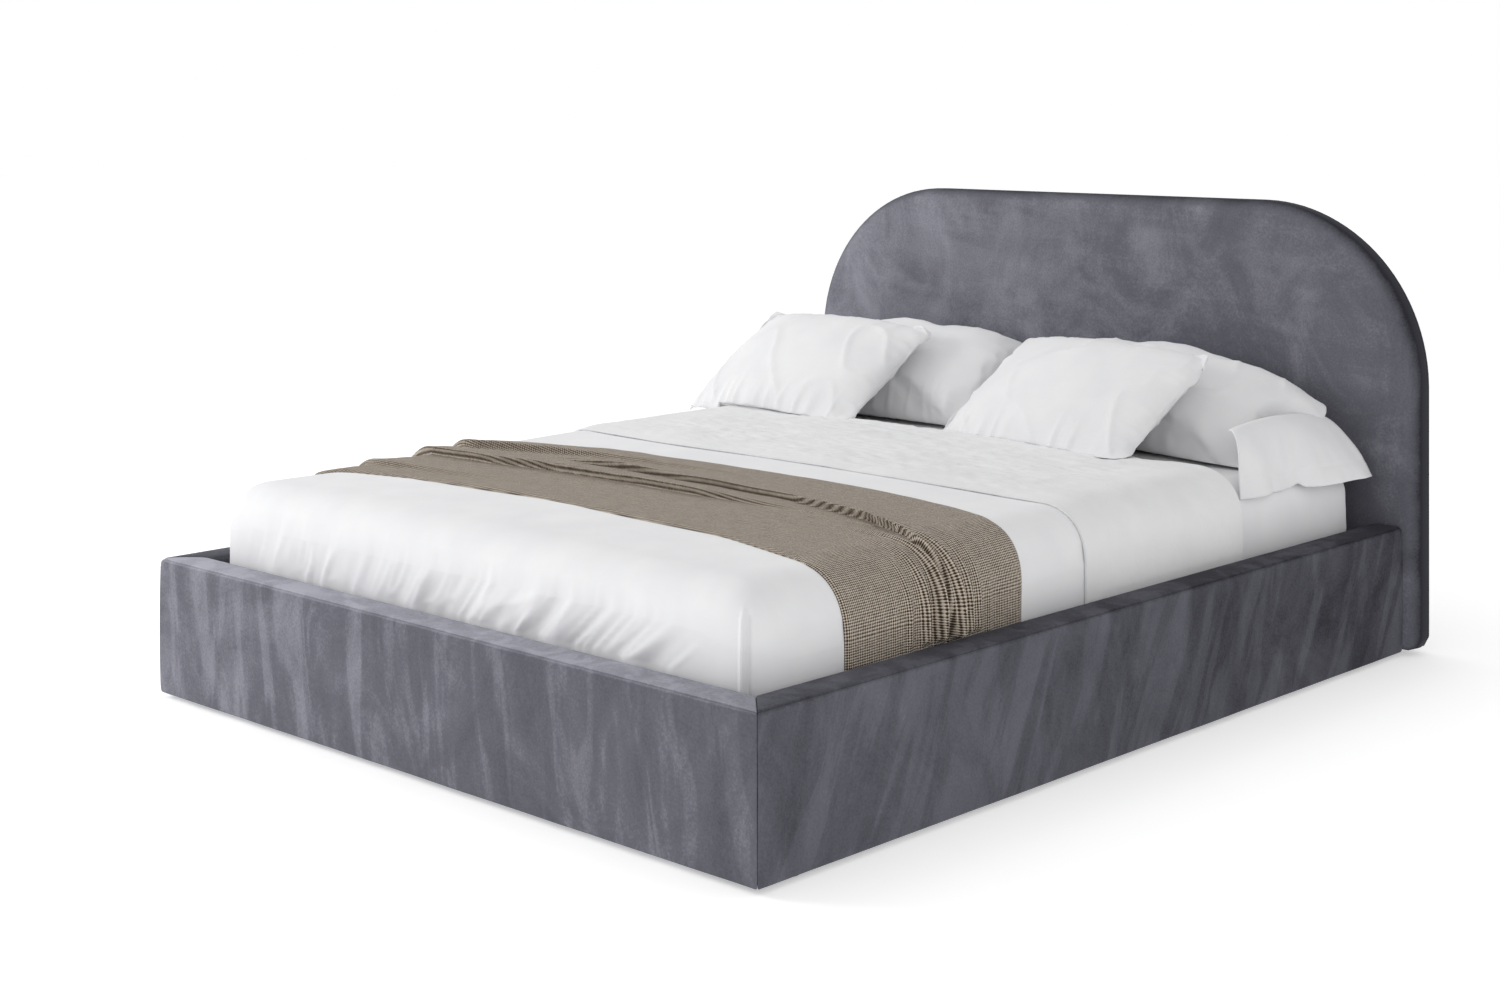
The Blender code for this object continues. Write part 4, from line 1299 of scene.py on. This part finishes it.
def make_pillows():
    """Two pillows lean on two that lie behind them. Each row has a size as (width, height, thickness),
    a seed, a centre, a yaw and a lean in degrees, a sag and a droop."""
    front = (0.64, 0.45, 0.175)
    for name, node, size, seed, centre, yaw, lean, sag, droop in (
        (
            "front_pillow_right", "pillow_front_right", front, 101,
            (0.262, y_of(1.722), SHEET_TOP + 0.134), -8, 35, 0.018, 0.0,
        ),
        (
            "front_pillow_left", "pillow_front_left", front, 131,
            (-0.580, y_of(1.728), SHEET_TOP + 0.136), -4, 35, 0.018, 0.0,
        ),
        (
            "rear_pillow_right", "pillow_rear_right", (0.86, 0.42, 0.19), 161,
            (0.335, y_of(1.945), SHEET_TOP + 0.104), -2, 30, 0.014, 0.085,
        ),
        (
            "rear_pillow_left", "pillow_rear_left", (0.78, 0.42, 0.19), 191,
            (-0.455, y_of(1.950), SHEET_TOP + 0.100), 2, 30, 0.030, 0.0,
        ),
    ):
        pillow_piece(name, node, size, seed, centre, yaw, lean, sag, droop)
    make_case_end()


# ---------------------------------------------------------------- bolts and the dark strip that stands in for shade in the floor's gap
def bolt_profile():
    """Half section of a domed bolt head on a washer, as (radius, height above the face)."""
    thick, wide, edge = 0.0014, 0.0102, 0.0004
    head_radius, head_base, dome_height = 0.0072, 0.0016, 0.0034
    dome = np.radians(np.linspace(0, 90, 9))
    head = np.stack([head_radius * np.cos(dome), head_base + dome_height * np.sin(dome)], axis=1)
    washer = [(0.0, 0.0), (wide - edge, 0.0), (wide, edge), (wide, thick - edge), (wide - edge, thick)]
    return np.concatenate([washer, [(head_radius + 0.0001, thick)], head])


def make_bolt(name, face_x, side, place):
    """The bolt's half section turned a full circle about a line across the bed, its head towards the
    middle of the bed."""
    profile = bolt_profile()
    turn = np.linspace(0, 2 * np.pi, 28, endpoint=False)[:, None]
    radius, height = profile[None, :, 0], profile[None, :, 1]
    x = np.broadcast_to(side * (face_x - height), (len(turn), len(profile)))
    y = place[0] + radius * np.cos(turn)
    z = place[1] + radius * np.sin(turn)
    piece = grid_piece(name, np.stack([x, y, z], axis=2), closed_rows=True, merge=True)
    piece.data.materials.append(ZINC)
    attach(piece, BOX)


def make_bolts():
    """A bolt on each lower pivot, seen when the bed is open. An arm's lower pivot is half the arm's
    width in from the low corner of its box."""
    half_width, clearance = 0.016, 0.0004
    for side_name, side in SIDES:
        for kind in ("rear", "front"):
            low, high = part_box(f"{kind}_arm_{side_name}")
            arm_face = min(abs(low.x), abs(high.x))
            place = (low.y + half_width, low.z + half_width)
            make_bolt(f"{kind}_pivot_bolt_{side_name}", arm_face - clearance, side, place)


def make_floor_gap_shade_strip():
    """A dark quarter-round strip over the storage floor's gap along both sides and the foot. It stands in
    for the shade in that gap, where the glowing floor would otherwise show through. One section, as
    (distance from the rail, height), is carried round a path with two mitred corners."""
    size, from_rail_gap, above_floor = 0.008, 0.0006, 0.0003
    turn = np.linspace(0, np.pi / 2, 9)
    from_rail = from_rail_gap + np.concatenate([[0.0], size * np.cos(turn)])
    height = np.concatenate([[0.0], size * np.sin(turn)])
    floor_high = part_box("storage_floor_right")[1]
    head_end = np.full_like(from_rail, floor_high.y)
    foot_end = RAIL_INNER_Y + from_rail
    x = np.array([-1, -1, 1, 1])[:, None] * (RAIL_INNER_X - from_rail)[None]
    y = np.stack([head_end, foot_end, foot_end, head_end])
    z = np.broadcast_to((floor_high.z + above_floor + height)[None], x.shape)
    piece = grid_piece("floor_gap_shade_strip", np.stack([x, y, z], axis=2), closed_columns=True)
    piece.data.materials.append(GAP_SHADE_PLASTIC)
    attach(piece, BOX)


# ---------------------------------------------------------------- camera, light, floor
def make_camera():
    """A level camera at the foot's right, so that uprights stay upright. The vertical shift frames the
    bed."""
    data = bpy.data.cameras.new("camera")
    data.sensor_width = 36.0
    data.lens = 54.23
    data.shift_y = -0.2689
    data.clip_end = 60.0
    camera = bpy.data.objects.new("camera", data)
    camera.location = (3.391, FOOT_Y - 2.649, 1.293)
    camera.rotation_euler = (math.radians(90), 0, math.radians(43.598))
    bpy.context.scene.collection.objects.link(camera)
    bpy.context.scene.camera = camera


def area_light(name, place, target, size, power):
    """A white rectangular soft box that faces a target."""
    data = bpy.data.lights.new(name, "AREA")
    data.shape = "RECTANGLE"
    data.size, data.size_y = size
    data.energy = power
    data.color = (1.0, 1.0, 1.0)
    lamp = bpy.data.objects.new(name, data)
    lamp.location = place
    lamp.rotation_euler = (Vector(target) - Vector(place)).to_track_quat("-Z", "Y").to_euler()
    bpy.context.scene.collection.objects.link(lamp)


def make_stage():
    """A pale floor that glows a little, a world that is white to the camera and dimmer as a light, and
    three soft boxes."""
    half_size = 30.0
    side = np.linspace(-half_size, half_size, 9)
    x, y = np.meshgrid(side, side, indexing="ij")
    floor = grid_piece("studio_floor", np.stack([x, y, 0 * x], axis=2))
    face_up(floor)
    material, shader = new_material("studio_floor", Roughness=0.9)
    shader.inputs["Base Color"].default_value = linear("#efefef")
    shader.inputs["Emission Color"].default_value = linear("#ffffff")
    shader.inputs["Emission Strength"].default_value = 0.40
    floor.data.materials.append(material)
    world = bpy.data.worlds.new("studio")
    world.use_nodes = True
    tree = world.node_tree
    background = tree.nodes["Background"]
    background.inputs["Color"].default_value = linear("#ffffff")
    seen = tree.nodes.new("ShaderNodeLightPath").outputs["Is Camera Ray"]
    strength = tree.nodes.new("ShaderNodeMapRange")
    strength.inputs["To Min"].default_value = 0.70
    strength.inputs["To Max"].default_value = 1.0
    tree.links.new(seen, strength.inputs["Value"])
    tree.links.new(strength.outputs["Result"], background.inputs["Strength"])
    bpy.context.scene.world = world
    bpy.context.scene.view_settings.view_transform = "Standard"
    area_light("left_window", (-4.2, -3.6, 2.6), (0, -0.4, 0.3), (2.0, 1.6), 118)
    area_light("front_fill", (4.2, -3.2, 2.2), (0.2, 0.4, 0.4), (2.6, 2.0), 24)
    area_light("top_bank", (-2.0, 0.6, 4.2), (0, 0, 0.3), (2.6, 2.6), 24)


make_camera()
make_stage()
dress_nodes()
make_rail("padded_foot_rail", 0)
for side_name, side_sign in SIDES:
    make_rail(f"padded_side_rail_{side_name}", side_sign)
make_headboard()
make_mattress()
make_duvet()
make_turndown()
make_throw()
make_pillows()
make_bolts()
make_floor_gap_shade_strip()
